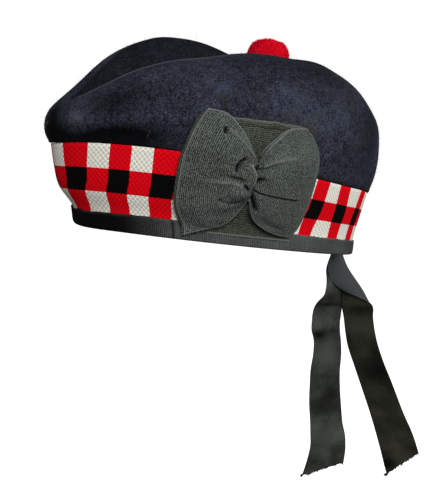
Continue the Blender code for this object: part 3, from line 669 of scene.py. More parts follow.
def buildBinding():        # the section carried round the rim, its face and upper edge a little wavy
    t = np.linspace(0, 2 * math.pi, binding["around"] + 1)
    section = np.array(binding["section"]) / 1000
    gridT, offset = np.meshgrid(t, section[:, 0])
    height = np.repeat(section[:, 1:], len(t), 1)
    arc, around = seamArc(t)
    circle = np.stack([np.cos(t), np.sin(t), 0 * t], -1) * around / (2 * math.pi)
    upper = ease(height / binding["height"])
    outer = np.where(offset > binding["faceFrom"], 1.0, 0.0)
    joint = bell(arc - binding["joint"], binding["jointReach"])
    height = height + binding["topRipple"] * ripple(circle, binding["topSize"], 21)[None] * upper
    wave = binding["ripple"] * ripple(circle, binding["rippleSize"], 22) * ease(height / binding["footStill"])
    offset = offset + outer * (wave - binding["jointDepth"] * joint)
    points = offFace(bandPoint, gridT, height / cap["bandHeight"], offset)
    points[:, -1] = points[:, 0]
    run = ruler(np.vstack([section, section[:1]]))
    uv = np.stack(np.broadcast_arrays(arc[None], run[:, None]), -1)
    # painted shade: the binding turns dark towards the front
    toFront = np.minimum(arc, around - arc) - binding["shadeFrom"]
    dark = 1 - ease(toFront / (binding["shadeUntil"] - binding["shadeFrom"]))
    edge = -binding["edgePale"] * bell(height - binding["edgeAt"], binding["edgeReach"]) * outer
    shade = dark + binding["jointDark"] * joint + edge
    return surface("rimRibbon", worn(points[:, :-1]), uv, shade[:, :-1], closeRows=True, closeColumns=True)


bindingPiece = buildBinding()
dress(bindingPiece, ribbons["binding"], "black_ribbon", "rim_binding")
print("binding made")


# Cockade: a runs back along the seam, b up the side and c out of it, from the bow's middle

cockade = {"angleDeg": 95, "forward": 0.042, "level": 0.0372, "stand": 0.0026, "ribbon": 0.0007}

sideAngle = math.radians(cockade["angleDeg"])
rulerT = np.linspace(0, math.pi, 481)
seamRuler = ruler(seamPoint(rulerT))
cockadeStart = np.interp(sideAngle, rulerT, seamRuler) - cockade["forward"]
rulerQ = np.linspace(0, 2, 481)
sideRuler = ruler(capPoint(sideAngle + 0 * rulerQ, rulerQ))


def onSide(a, b, c):        # lengths along the seam and up the side find t and q, c goes out along the normal
    t = np.interp(cockadeStart + a, seamRuler, rulerT)
    q = np.interp(cockade["level"] + b, sideRuler, rulerQ)
    return worn(offFace(capPoint, t, q, c))


def lineNear(a, b, line):        # distance to a bent line, which side of it, and the share of its length
    line = np.array(line) / 1000
    best = np.full(a.shape, 1e9)
    side, run = np.zeros(a.shape), np.zeros(a.shape)
    before = ruler(line) / ruler(line)[-1]
    for (x0, y0), (x1, y1), start, end in zip(line[:-1], line[1:], before[:-1], before[1:]):
        dx, dy = x1 - x0, y1 - y0
        share = np.clip(((a - x0) * dx + (b - y0) * dy) / (dx * dx + dy * dy), 0, 1)
        far = np.hypot(a - x0 - dx * share, b - y0 - dy * share)
        near = far < best
        side = np.where(near, np.sign(dx * (b - y0) - dy * (a - x0)), side)
        run = np.where(near, start + (end - start) * share, run)
        best = np.minimum(best, far)
    return best * 1000, side, run


def creased(a, b, folds):        # adds up each fold's groove, the lift on its left side, and its darkness: painted shade, turned to a painted highlight where the darkness is negative
    height, shade = np.zeros(a.shape), np.zeros(a.shape)
    for line, depth, width, fadeStart, fadeEnd, dark, *lifted in folds:
        far, side, run = lineNear(a, b, line)
        fade = ease(run / fadeStart) if fadeStart else 1
        fade = fade * (ease((1 - run) / fadeEnd) if fadeEnd else 1)
        height = height - depth * bell(far, width) * fade
        if lifted:
            lift, reach = lifted
            raised = lift * np.clip(side, 0, 1) * np.exp(-far / reach)
            height = height + raised * (1 - bell(far, width)) * fade
        shade = shade + dark * bell(far, width * 0.75) * fade
    return height / 1000, shade


panel = {
    "front": 0.027, "rear": 0.031, "low": -0.0315, "high": 0.036, "edgeWave": 0.0004, "wave": 0.0003,
    "edgeSize": 0.01, "waveSize": 0.018, "columns": 120, "rows": 150,
    "waveFrom": 0.028, "waveEase": 0.006, "hem": 0.0006, "hemDepth": 0.004,
    # tone, distance in and reach of each line along the upper edge, painted highlight at the edge and painted
    # shade under the hem, then the pale line along the lower edge
    "upperTones": ((-0.35, 0.0006, 0.0006), (0.55, 0.004, 0.0004)), "lowerTones": ((-0.55, 0.0004, 0.0005),),
}


def buildPanel():        # a flat ribbon laid over the band and the felt, its upper edge turned in
    low, high = panel["low"], panel["high"]
    a, b = np.meshgrid(np.linspace(-panel["front"], panel["rear"], panel["columns"]),
                       np.linspace(low, high, panel["rows"]))
    grid = np.stack([a, b, 0 * a], -1)
    edge = panel["edgeWave"] * ripple(grid, panel["edgeSize"], 31)
    edge = b + edge * ease((b - panel["waveFrom"]) / panel["waveEase"])
    hem = panel["hem"] * ease((b - (high - panel["hemDepth"])) / panel["hem"])
    wave = panel["wave"] * ripple(grid, panel["waveSize"], 32)
    shade = stripes(b - low, panel["lowerTones"]) + stripes(high - b, panel["upperTones"])
    points = onSide(a, edge, cockade["stand"] + hem + wave)
    piece = surface("cockadePanel", points, grid[..., :2], shade)
    thicken(piece, cockade["ribbon"])
    dress(piece, ribbons["panel"], "cockade_ribbon", "cockade_backing")
    return piece


# What both loops share, in metres and shares of the way out
bow = {
    "faceRows": 96, "endRows": 36, "backRows": 22, "columns": 150, "endFrom": 0.86, "backUntil": 0.12,
    "clear": 0.001, "rise": 0.002, "full": 0.0046, "fullFrom": 0.12, "fullUntil": 0.92, "fullPower": 0.7,
    "flatSides": 0.68, "rootRise": 0.0012, "least": 0.0008, "stillEnd": 0.1,
    "crumple": 0.00018, "crumpleSize": 0.009, "pleat": 0.0006, "pleats": 9, "halfWidth": 0.037,
    "lip": 0.0006, "lipDepth": 0.0011,
    # tone, distance in from the loop's end and reach of each line along its hem, painted shade and highlight
    # at the hem's step, then the same for the pale line along its sides
    "hemTones": ((0.45, 0.001, 0.0004), (-0.5, 0.0017, 0.0003), (-0.25, 0.0023, 0.0002), (0.25, 0, 0.0007)),
    "sideTones": ((-0.45, 0.0003, 0.0004),),
}

# Folds: bent line in mm, groove depth and width, fades at both ends, darkness of the painted shade (a painted
# highlight below zero), lift beside it and its reach
loopFront = {
    "name": "frontLoop", "node": "cockade_loop_front",
    "sign": -1, "bow": 5, "bowPower": 2.6, "skew": 0.5, "lip": 1,
    # share of the way out from the knot, then the top edge and the bottom edge, in mm
    "rows": ((0, -0.6, 13.4, -0.3, -2.8), (0.25, -5, 19.6, -3.6, -10.2), (0.5, -11, 28, -11.5, -18.6),
             (0.75, -18, 36, -25, -27.4), (1, -27.6, 39.6, -42.3, -34.4)),
    "folds": (
        (((-19, 28.8), (-19.4, 24.2)), 2.3, 1.05, 0.3, 0.3, 1.1),
        (((-18.3, 27.9), (-9.7, 21.1), (-3, 15.2)), -0.7, 0.9, 0.1, 0, -0.25, -0.5, 3),
        (((-11.4, 5.4), (-11.2, 8.8), (-9.6, 12), (-6.2, 14.6)), 3, 1.15, 0.2, 0.25, 1.1),
        (((-19.5, 4), (-12.5, 3.2), (-7.5, 2.6), (-5.2, 1.8)), 1.5, 0.9, 0.55, 0.15, 0.45),
        (((-7.4, 1.2), (-4.8, -0.4), (-2.6, -1.8)), 2.2, 0.75, 0.3, 0.3, 1.1),
        (((-33, -1.2), (-13.1, 1), (-4, -0.2)), -0.8, 1.1, 0.5, 0.1, -0.18, -0.6, 5),
        (((-18.5, -8.6), (-13.1, -9.8), (-8.3, -8.9), (-3, -4.6)), 1, 1, 0.3, 0.45, 0.1),
        (((-13.5, -9.9), (-8.8, -9.3)), 0.4, 0.5, 0.4, 0.4, 0.4),
        (((-17.7, -7.4), (-17.9, -9.4)), 1.2, 0.9, 0.3, 0.3, 0.9),
        (((-32, -17), (-14, -15.5), (-5, -10)), 0.9, 2.2, 0.5, 0, 0.15),
    ),
    # middle, reaches and height of each bulge, in mm
    "bulges": ((-8.5, -3.8, 6.5, 3.4, 2.2), (-25, 15, 11, 11, 1), (-27, -22, 9, 7, 0.6)),
}
loopRear = {
    "name": "rearLoop", "node": "cockade_loop_rear",
    "sign": 1, "bow": 13.6, "bowPower": 3.2, "skew": 0.05, "lip": 0.35,
    "rows": ((0, 0.2, 12.5, -0.8, -7), (0.25, 3.6, 20.4, 1.2, -15.2), (0.5, 8.8, 26.2, 7.6, -22.2),
             (0.75, 15.2, 32.2, 15.2, -27.4), (1, 27.1, 34.8, 27.3, -28.8)),
    "folds": (
        (((0.5, 10.3), (7.7, 14.8), (16.5, 17.5), (26, 19.5)), -0.7, 1.1, 0, 0.35, -0.2, -0.8, 4),
        (((1, 8), (8, 12.4), (16, 14.6)), 0.8, 1.5, 0.1, 0.6, 0.25),
        (((0.2, 3.6), (2.6, 4.8), (6.2, 5.6)), 2.4, 1.1, 0, 0.7, 1.2),
        (((-0.6, -1), (3, -2), (13.7, -2.5), (30, -2.8)), 1.7, 0.34, 0, 0.1, 1, 1.1, 3.5),
        (((-0.9, -3.2), (0.9, -6.6), (3.8, -12.8)), 3.2, 1.05, 0, 0.25, 1.2),
        (((9.3, 25), (9.6, 23.4)), 0.9, 0.7, 0.4, 0.4, 0.9),
        (((25.5, -21.4), (25.9, -22.8)), 0.9, 0.8, 0.4, 0.4, 0.8),
        (((3, -14), (14, -20), (24, -22)), 0.8, 2.2, 0.3, 0.4, 0.12),
    ),
    "bulges": ((18, 8, 12, 9, 1.1), (16, -12, 10, 7, 0.8)),
}


def buildLoop(loop):
    # out from the knot on the face, round the end and back underneath; height and folds are added along c
    face = np.linspace(0, bow["endFrom"], bow["faceRows"])
    face = np.concatenate([face, np.linspace(bow["endFrom"], 1, bow["endRows"])[1:]])
    out = np.concatenate([face, [1, 1, 1], np.linspace(1, bow["backUntil"], bow["backRows"])])
    under = np.concatenate([0 * face, [0.25, 0.5, 0.75], np.ones(bow["backRows"])])
    share, v = np.meshgrid(out, np.linspace(-1, 1, bow["columns"]), indexing="ij")
    below = np.repeat(under[:, None], bow["columns"], 1)
    w = (v + 1) / 2
    topA, topB, lowA, lowB = [along(loop["rows"], k, share) for k in (1, 2, 3, 4)]
    bowed = loop["sign"] * loop["bow"] * share ** 2 * (1 - np.abs(v) ** loop["bowPower"])
    a = (lowA + (topA - lowA) * w + bowed * (1 + loop["skew"] * v)) / 1000
    b = (lowB + (topB - lowB) * w) / 1000
    filled = np.clip(share * (bow["fullUntil"] - bow["fullFrom"]) + bow["fullFrom"], 0, 1)
    puff = np.sin(math.pi * filled) ** bow["fullPower"] * (1 - bow["flatSides"] * v ** 2)
    back = cockade["stand"] + bow["clear"]
    c = back + bow["rise"] + bow["full"] * puff * (1 - share ** 8) + bow["rootRise"] * (1 - share) ** 0.5
    run = ruler(onSide(a, b, c))
    run = run - run[len(face) - 1]
    sculpt, shade = creased(a, b, loop["folds"])
    for x, y, wide, high, lift in loop["bulges"]:
        sculpt = sculpt + lift / 1000 * bell(a * 1000 - x, wide) * bell(b * 1000 - y, high)
    sculpt = sculpt + bow["crumple"] * ripple(np.stack([a, b, 0 * a], -1), bow["crumpleSize"], 41)
    lip = loop["lip"] * (1 - ease((-run - bow["lipDepth"]) / bow["lip"]))
    c = c + sculpt * ease((1 - share) / bow["stillEnd"]) - bow["lip"] * lip
    c = np.maximum(c, back + bow["least"]) * (1 - below) + back * below
    pleat = bow["pleat"] * np.sin(v * bow["pleats"]) * (1 - share) ** 2 * (1 - below)
    toSide = (1 - np.abs(v)) * (topB - lowB) / 2000
    # painted shade from the folds, then painted shade and highlight lines along the hem and a pale line along
    # the sides
    shade = shade * (1 - below) + loop["lip"] * stripes(-run, bow["hemTones"])
    shade = shade + stripes(toSide, bow["sideTones"])
    uv = np.stack([run, v * bow["halfWidth"]], -1)
    piece = surface(loop["name"], onSide(a, b, c + pleat), uv, shade, flip=loop["sign"] > 0)
    thicken(piece, cockade["ribbon"])
    dress(piece, ribbons["cockade"], "cockade_ribbon", loop["node"])
    return piece


knot = {
    # closed outline in a and b, in mm, from the right side upwards and round
    "outline": ((0.6, 4.4), (0.1, 7.2), (-2.6, 10.4), (-6.4, 13), (-8.6, 12.2), (-9.4, 8.6), (-8.4, 5.2),
                (-5.6, 2.6), (-3, 0.8), (-0.9, 0.4), (0.3, 1.9)),
    "centre": (-4.4, 6.5), "foot": 0.0028, "base": 0.008, "rise": 0.003, "round": 2.4, "square": 9,
    "lean": 0.0006, "leanReach": 6, "sideShade": 0.9, "columns": 121, "rows": 71,
    # shares of the height over which the folds come in and the painted shade on the sides goes
    "foldEase": 0.5, "shadeUntil": 0.2, "shadeEase": 0.4,
    # folds as in the loops; the first paints a highlight along the knot's right edge
    "folds": (
        (((-6.2, 12.6), (-2.4, 9.6), (-0.2, 6.4), (-0.1, 3), (-1.2, 1)), -0.4, 0.55, 0.05, 0.05, -0.55),
        (((-8.6, 6.4), (-6.4, 5), (-4.2, 2.8)), 1.2, 1.2, 0.2, 0.1, 0.8),
        (((-7, 12), (-4.4, 8), (-3.2, 4)), 0.5, 0.7, 0.2, 0.3, 0.25),
    ),
}


def buildKnot():        # a cushion of ribbon: its outline shrinks over and under, with a squarer foot
    outline = np.array(knot["outline"])
    ring = np.arange(-2, len(outline) + 3)
    rows = np.column_stack([ring / len(outline), outline[ring % len(outline)]])
    turn, level = np.meshgrid(np.linspace(0, 1, knot["columns"]), np.linspace(-1, 1, knot["rows"]))
    upper = level > 0
    reach = np.maximum(1 - np.abs(level) ** np.where(upper, knot["round"], knot["square"]), 0) ** 0.5
    a, b = [(mid + (along(rows, k, turn) - mid) * reach) / 1000 for k, mid in enumerate(knot["centre"], 1)]
    folds, shade = creased(a, b, knot["folds"])
    c = knot["base"] + np.where(upper, knot["rise"], knot["base"] - knot["foot"]) * level
    c = c + folds * ease(level / knot["foldEase"])
    c = c + knot["lean"] * np.clip((b * 1000 - knot["centre"][1]) / knot["leanReach"], -1, 1) * reach
    # painted shade on the knot's sides and underside
    dark = knot["sideShade"] * ease((knot["shadeUntil"] - level) / knot["shadeEase"])
    shade = shade * ease(level / knot["shadeUntil"]) + dark
    uv = np.stack([a, b], -1)
    piece = surface("knotWrap", onSide(a, b, c)[:, :-1], uv, shade[:, :-1], closeColumns=True, weld=True)
    dress(piece, ribbons["cockade"], "cockade_ribbon", "cockade_knot")
    return piece


fray = {
    "count": 70, "seed": 51, "spots": ((28.6, 36.8), (30.4, 36.2), (31.2, 33), (30.8, 35.6), (25, 36.6)),
    "spread": 0.0009, "from": 0.0034, "towards": 0.006, "lean": 0.8, "lift": (0, 0.25, 0.6),
    "length": 0.0046, "shortest": 0.5, "longest": 1.4, "radius": 0.00012, "curl": 0.9,
}


def buildFray():        # threads standing out of the panel's upper rear corner
    dice = np.random.default_rng(fray["seed"])
    spots, count = np.array(fray["spots"]) / 1000, fray["count"]
    pick = dice.integers(0, len(spots), count)
    a, b = (spots[pick] + dice.normal(size=(count, 2)) * fray["spread"]).T
    place = onSide(a, b, np.full(count, fray["from"]))
    out = onSide(a, b, np.full(count, fray["towards"])) - place
    way = unit(unit(out) + dice.normal(size=(count, 3)) * fray["lean"] + np.array(fray["lift"]))
    lengths = fray["length"] * dice.uniform(fray["shortest"], fray["longest"], count)
    piece = strands("panelFray", place, way, lengths, fray["radius"], fray["curl"], fray["seed"], rings=6)
    dress(piece, threads["darkThread"], "cockade_ribbon")
    return piece


panelPiece = buildPanel()
frontPiece, rearPiece = [buildLoop(loop) for loop in (loopFront, loopRear)]
knotPiece, frayPiece = buildKnot(), buildFray()
print("cockade made")


# Toorie

toorie = {
    "radius": 0.0147, "height": 0.0306, "place": 0.562, "clear": 0.0008, "seated": 0.0005,
    "around": 96, "rings": 49, "lump": 0.00045, "lumpSize": 0.006,
    # share of the way from the crease to the top, radius share and height share
    "profile": ((0, 0, 0), (0.12, 0.34, 0.045), (0.25, 0.64, 0.15), (0.38, 0.86, 0.3), (0.5, 0.985, 0.46),
                (0.62, 1, 0.62), (0.74, 0.93, 0.79), (0.84, 0.76, 0.905), (0.92, 0.48, 0.965), (1, 0, 0.98)),
    "pile": {"count": 9500, "length": 0.0011, "radius": 0.00014, "lean": 0.45, "curl": 0.35, "seed": 62,
             "low": 14},
}


def creaseHeight(x, y):        # height of the felt beside the crease, read along the fold's own curve
    share = np.clip((y - noseY) / (napeY - noseY), 0, 1)
    t = np.arccos(1 - 2 * share) * np.where(x < 0, -1, 1)
    u = np.linspace(0, 1, 41)
    path = foldPoint(t[..., None] + 0 * u, u + 0 * t[..., None])
    reach = np.abs(path[..., 0])
    i = np.clip((reach > np.abs(x)[..., None]).sum(-1), 1, 40)[..., None]
    (near, zNear), (far, zFar) = [
        [np.take_along_axis(values, k, -1)[..., 0] for values in (reach, path[..., 2])] for k in (i, i - 1)]
    part = np.clip((np.abs(x) - near) / np.maximum(far - near, 1e-9), 0, 1)
    return zNear * (1 - part) + zFar * part


def buildToorie():        # a turned profile with low lumps, then short wool standing on it
    y0 = noseY + (napeY - noseY) * toorie["place"]
    floor = creasePoint(np.arccos(np.array(1 - 2 * toorie["place"])))[2] + toorie["clear"]
    turn = np.arange(toorie["around"]) * 2 * math.pi / toorie["around"]
    turn, share = np.meshgrid(turn, np.linspace(0, 1, toorie["rings"]))
    radius = toorie["radius"] * along(toorie["profile"], 1, share)
    z = floor + toorie["height"] * along(toorie["profile"], 2, share)
    points = np.stack([radius * np.cos(turn), y0 + radius * np.sin(turn), z], -1)
    outwards = unit(points - np.array([0, y0, floor + toorie["height"] * 0.5]))
    lumps = toorie["lump"] * ripple(points, toorie["lumpSize"], 61, 9)
    points = points + outwards * (lumps * (radius > 1e-5))[..., None]
    felted = creaseHeight(points[..., 0], points[..., 1]) + toorie["seated"]
    points[..., 2] = np.maximum(points[..., 2], felted)
    piece = surface("toorieWool", worn(points), closeColumns=True, weld=True)
    dress(piece, redWool, "red_wool", "toorie")
    pile = furOn("tooriePile", worn(points), worn(gridNormals(points)), **toorie["pile"])
    dress(pile, threads["redHair"], "red_wool")


buildToorie()
print("toorie made")


# Tails and the flap over them, hanging plumb behind the rim

tails = {
    "width": 0.034, "length": 0.22, "ribbon": 0.0007, "rows": 240, "columns": 49,
    "turnDeg": 57.7, "side": 0.006, "behind": 0.003, "seenFrom": (0.27129, -0.16616, 0.06364),
    # the end's share of the length, its jags and its curl; waves; tones of waves and of the folds' painted
    # light and shade
    "end": 0.05, "jag": 0.001, "curl": 0.0035, "curlReach": 0.35, "settle": 0.2,
    "soft": 0.0006, "fineSoft": 0.0003, "waveTone": 0.3, "foldTone": 1.25,
    "jagSize": 0.007, "fineJagSize": 0.002, "softSize": 0.03, "fineSoftSize": 0.012, "waveSize": 0.035,
    # count, shortest and longest of the short threads along the end and of the long ones at its corner
    "threads": (90, 0.0005, 0.0016), "cornerThreads": (26, 0.002, 0.0044), "threadRadius": 0.00034,
}

# Edges: share of the way down, left and right edge across and up, stand in front, all in mm
# Folds, bands of painted shade (a painted highlight where the darkness is negative): height in mm and reach
# up, place across and reach across, darkness
tailLeft = {
    "name": "leftTail", "node": "tail_left", "forward": -1, "turnFrom": 0.05, "seed": 71,
    "edges": (
        (0, -3.7, 0, 3.7, 0, 0), (0.085, -8.6, -20, 3.5, -18, 0.6), (0.125, -7.6, -28.1, 5.3, -27.1, 1.4),
        (0.162, -7.6, -36.2, 6.4, -36.3, 2.4), (0.196, -9.4, -43.9, 6.7, -43.8, 3.4),
        (0.222, -14.6, -50, 7, -49.4, 4.2), (0.24, -17, -54.5, 7.1, -54, 2.2),
        (0.265, -18.2, -60.5, 6.8, -61, 1.9), (0.3, -18.5, -67.5, 6.3, -67.5, 2.5),
        (0.342, -18.4, -76.8, 6.8, -76.3, 3.2), (0.38, -16.2, -85.5, 8.1, -85, 1),
        (0.45, -15.9, -101, 9.5, -101, 2.6), (0.51, -17.3, -114, 9.3, -115, 3.6),
        (0.6, -17.5, -133, 10.6, -135, 4.6), (0.69, -17.1, -152.2, 13, -154.6, 1.8),
        (0.76, -15.6, -168, 15.2, -170.5, 0.2), (0.83, -14.5, -184, 18.3, -183, 1.4),
        (0.9, -14.2, -199, 19.8, -194.5, 3.4), (0.95, -16.3, -212.5, 20, -203.5, 4.6),
        (1, -20.3, -231, 19, -215.9, 5.4)),
    "folds": ((-51.5, 1.6, 0, 1.2, 0.6), (-81, 5, -0.6, 0.6, 0.95), (-77, 4, 0.4, 0.6, 0.5),
              (-104, 12, 0.1, 0.9, -0.25), (-122, 3, 0, 1.5, 0.25), (-154, 12, 0, 1.5, 0.45),
              (-192, 14, -0.1, 1, -0.2), (-34, 12, 0, 1.2, -0.35)),
}
tailRight = {
    "name": "rightTail", "node": "tail_right", "forward": 1, "turnFrom": 0.17, "seed": 75,
    "edges": (
        (0, -3, 0, 3, 0, -1.2), (0.11, 0.9, -25, 12, -26, -1.8), (0.19, 6.3, -41.7, 24.5, -43.8, -2.2),
        (0.235, 7, -53, 34.3, -52.5, -2.4), (0.28, 9.5, -63.5, 35.6, -63.2, -2.6),
        (0.34, 11.7, -76.4, 38.2, -76.7, -2), (0.4, 15, -91.1, 41.5, -88.5, -1.2),
        (0.475, 21.8, -109.7, 47.4, -104.3, -1.6), (0.59, 31.7, -136, 58.6, -129.2, 0),
        (0.72, 42.7, -166.1, 71.8, -159.5, -1.8), (0.84, 51.8, -194.2, 82.5, -181.4, 0.2),
        (0.95, 59.5, -219.7, 88.3, -196.4, -2.2), (1, 61.7, -226.9, 90.6, -202.7, -4.6)),
    "folds": ((-56, 5, 0, 1.5, 0.6), (-74, 8, 0, 1, -0.25), (-115, 12, 0.6, 0.7, 0.4), (-150, 8, 0, 1.2, 0.4),
              (-176, 10, 0.2, 0.8, -0.25), (-215, 9, -0.8, 0.5, 0.8)),
}

rimBack = worn(offFace(bandPoint, np.array(math.pi), np.array(0.0), np.array(cap["gap"])))
tailRoot = np.array([tails["side"], rimBack[1] + tails["behind"], rimBack[2] - cap["gap"]])
tailTurn = math.radians(tails["turnDeg"])
tailAcross = np.array([math.cos(tailTurn), math.sin(tailTurn), 0.0])
tailFacing = np.array([math.sin(tailTurn), -math.cos(tailTurn), 0.0])


def hang(s, stand, z):        # across and above the root, then along the line of sight till it stands out
    point = tailRoot + s[..., None] * tailAcross + z[..., None] * up
    ray = point - np.array(tails["seenFrom"])
    return point + ray * (stand / (ray @ tailFacing))[..., None]


def ruled(table, share, across):        # from the left edge's curve, -1, straight to the right edge's, 1
    left = np.stack([along(table, 1, share), along(table, 2, share)]) / 1000
    right = np.stack([along(table, 3, share), along(table, 4, share)]) / 1000
    return left + (right - left) * (across + 1) / 2, np.linalg.norm(right - left, axis=0)


def buildTail(tail, finish):
    # a ribbon between two edge curves; what the view doesn't show of its width turns out of the plane
    seed, width = tail["seed"], tails["width"]
    share, across = np.meshgrid(np.linspace(0, 1, tails["rows"]), np.linspace(-1, 1, tails["columns"]),
                                indexing="ij")
    line = np.stack([share * tails["length"], across * width / 2, 0 * share], -1)
    (s, z), wide = ruled(tail["edges"], share, across)
    ending = ease((share - (1 - tails["end"])) / tails["end"])
    edgeLine = line[..., 1:2] * np.array([1.0, 0, 0])
    jags = ripple(edgeLine, tails["jagSize"], seed) + 0.5 * ripple(edgeLine, tails["fineJagSize"], seed + 3)
    z = z + tails["jag"] * jags * ending
    turned = np.sqrt(np.maximum(1 - np.minimum(wide / width, 1) ** 2, 0))
    turned = turned * ease((share - tail["turnFrom"]) / tails["settle"])
    soft = tails["soft"] * ripple(line, tails["softSize"], seed + 1)
    fine = ripple(line * np.array([1.0, 0.25, 1.0]), tails["fineSoftSize"], seed + 2)
    soft = soft + tails["fineSoft"] * fine
    stand = along(tail["edges"], 5, share) / 1000 + width / 2 * across * turned * tail["forward"]
    stand = stand + soft * ease(share / tails["settle"])
    stand = stand + tails["curl"] * ending * bell(across + 1, tails["curlReach"])
    shade = tails["waveTone"] * ripple(line * np.array([1.0, 0.5, 1.0]), tails["waveSize"], seed + 7)
    for height, tall, middle, reach, dark in tail["folds"]:
        fold = tails["foldTone"] * dark * bell(z * 1000 - height, tall)
        shade = shade + fold * bell(across - middle, reach)
    points = hang(s, stand, z)
    piece = surface(tail["name"], points, line[..., 1::-1], shade)
    thicken(piece, tails["ribbon"], 0)
    dress(piece, finish, "tail_ribbon", tail["node"])
    dice = np.random.default_rng(seed + 5)
    (many, short, long), (few, shortest, longest) = tails["threads"], tails["cornerThreads"]
    edge = points[-1]
    place = edge[dice.integers(0, len(edge), many)] + dice.normal(size=(many, 3)) * 0.0003
    corner = edge[:3][dice.integers(0, 3, few)] + dice.normal(size=(few, 3)) * 0.0004
    way = unit(dice.normal(size=(many, 3)) * 0.5 - up)
    hook = unit(-0.6 * up - tailAcross * 0.7 + dice.normal(size=(few, 3)) * 0.18)
    lengths = np.concatenate([dice.uniform(short, long, many), dice.uniform(shortest, longest, few)])
    roots, ways = np.concatenate([place, corner]), np.concatenate([way, hook])
    ends = strands(tail["name"] + "Fray", roots, ways, lengths, tails["threadRadius"], 0.5, seed + 6, rings=5)
    dress(ends, threads["tailThread"], "tail_ribbon")


flap = {
    # as the tails' edges, without the stand
    "edges": ((0, -3.7, 0, 3, 0), (0.12, -4.7, -5.2, 4.4, -6.4), (0.3, -7.3, -12.8, 8.9, -16.6),
              (0.48, -7.1, -19.1, 14.9, -25.6), (0.66, -4.6, -27.3, 21, -33.9),
              (0.82, 0.4, -33.3, 25.9, -41.1), (1, 9, -39.3, 30.8, -48.8)),
    "stand": 0.0032, "full": 0.0014, "soft": 0.0004, "softSize": 0.018, "rows": 100, "columns": 92,
    # shares of the length over which the waves come in, and the rounded edge comes in and goes
    "softEase": 0.3, "edgeEase": 0.15, "edgeFade": 0.3,
    # shares of the width that round the fold and run back behind, and how far out, in and back they go
    "rounds": 0.3, "runsBack": 0.6, "out": 0.0007, "in": 0.006, "behind": 0.0011,
    # tone, place and reach of the lines of painted shade and highlight at both edges, then of the pale line
    # at the tip
    "tones": ((0.12, -1, 0.05), (-0.25, 0.97, 0.03)), "tipTones": ((-0.2, 0, 0.02),),
}


def buildFlap():        # the ribbon's end folded over the tails; past its right edge it runs back behind
    most = flap["rounds"] + flap["runsBack"]
    share, across = np.meshgrid(np.linspace(0, 1, flap["rows"]), np.linspace(-1, 1 + most, flap["columns"]),
                                indexing="ij")
    inside = np.minimum(across, 1)
    s, z = ruled(flap["edges"], share, inside)[0]
    past = np.clip(across - 1, 0, most)
    swing = np.clip(past / flap["rounds"], 0, 1) * math.pi
    away = ease(share / flap["edgeEase"]) * ease((1.001 - share) / flap["edgeFade"])
    inwards = np.clip(past - flap["rounds"], 0, 1) / flap["runsBack"]
    s = s + (flap["out"] * np.sin(swing) - flap["in"] * inwards) * away
    rise = ease(share * 1.5) * flap["stand"]
    full = flap["full"] * np.sin(math.pi * (inside + 1) / 2) * ease(share * 2)
    soft = flap["soft"] * ripple(np.stack([s, z, 0 * s], -1), flap["softSize"], 81)
    soft = soft * ease(share / flap["softEase"])
    stand = tails["ribbon"] + cap["gap"] + rise + full + soft - flap["behind"] * (1 - np.cos(swing)) * away
    shade = stripes(1 - share, flap["tipTones"]) + stripes(across, flap["tones"])
    piece = surface("tailFlap", hang(s, stand, z), np.stack([s, z], -1), shade)
    thicken(piece, tails["ribbon"], 0)
    dress(piece, ribbons["flap"], "tail_ribbon", "tail_fold")


buildTail(tailLeft, ribbons["tailLeft"])
buildTail(tailRight, ribbons["tailRight"])
buildFlap()
print("tails made")


# Studio

studio = {
    "floor": -0.75, "floorPale": 0.8, "half": 6, "domeShare": 1.5, "world": 0.14, "glow": 1,
    "lights": {
        "key": {"at": (1.16, -0.42, 0.54), "size": 0.5, "watts": 20},
        "fill": {"at": (-1.2, 0.75, 0.35), "size": 1.2, "watts": 5},
        "rear": {"at": (0.75, 0.95, 0.45), "size": 0.6, "watts": 6.5},
    },
    "camera": tails["seenFrom"], "lens": 31.415, "sensor": 36, "nearest": 0.01,
    "right": (0.5086, 0.861, 0), "up": (-0.1981, 0.1166, 0.9732), "back": (0.8379, -0.4951, 0.2299),
}


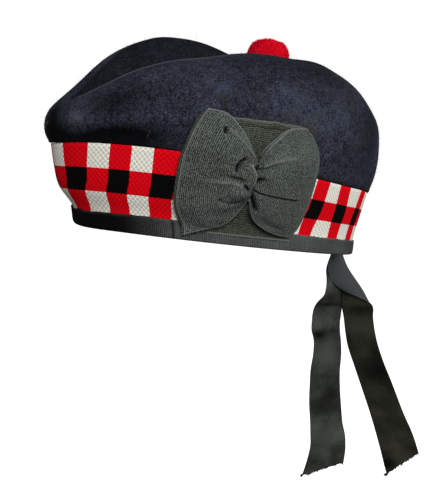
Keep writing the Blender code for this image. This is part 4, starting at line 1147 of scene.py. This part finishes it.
def paleFinish(name, value):
    material, start = newFinish(name)
    glow = {"Emission Color": (1, 1, 1, 1), "Emission Strength": studio["glow"]}
    closeFinish(start, (value, value, value, 1), roughness=0.9, gloss=0, values=glow)
    return material


def placed(x, y, z, at):        # a matrix from its three axes and its place
    return Matrix([[x[i], y[i], z[i], at[i]] for i in range(3)] + [[0, 0, 0, 1]])


def buildStudio():
    half, level = studio["half"], studio["floor"]
    floor = surface("floor", np.array([[(x, y, level) for x in (-half, half)] for y in (-half, half)]))
    floor.data.materials.append(paleFinish("paleFloor", studio["floorPale"]))
    turn, tilt = np.meshgrid(np.linspace(0, 2 * math.pi, 49)[:-1], np.linspace(-0.5, 0.5, 25) * math.pi)
    dome = np.stack([np.cos(tilt) * np.cos(turn), np.cos(tilt) * np.sin(turn), np.sin(tilt)], -1)
    dome = dome * half * studio["domeShare"]
    backdrop = surface("backdrop", dome, closeColumns=True, weld=True, flip=True)
    backdrop.data.materials.append(paleFinish("paleBackdrop", 0))
    for stage in (floor, backdrop):
        stage.visible_diffuse = stage.visible_glossy = stage.visible_shadow = False
    world = bpy.data.worlds.new("studioWorld")
    bpy.context.scene.world = world
    world.use_nodes = True
    inputs = world.node_tree.nodes["Background"].inputs
    inputs["Color"].default_value = (1, 1, 1, 1)
    inputs["Strength"].default_value = studio["world"]
    for name, settings in studio["lights"].items():
        light = bpy.data.lights.new(name + "Light", "AREA")
        light.size = settings["size"]
        light.energy = settings["watts"]
        aim = unit(-np.array(settings["at"]))
        side = unit(np.cross(aim, up))
        lamp = addObject(name + "Light", light)
        lamp.matrix_world = placed(side, np.cross(side, aim), -aim, settings["at"])
    camera = bpy.data.cameras.new("camera")
    camera.lens = studio["lens"]
    camera.sensor_width = studio["sensor"]
    camera.clip_start = studio["nearest"]
    viewer = addObject("camera", camera)
    viewer.matrix_world = placed(studio["right"], studio["up"], studio["back"], studio["camera"])
    bpy.context.scene.camera = viewer
    bpy.context.scene.view_settings.view_transform = "Standard"


buildStudio()
print("studio set")
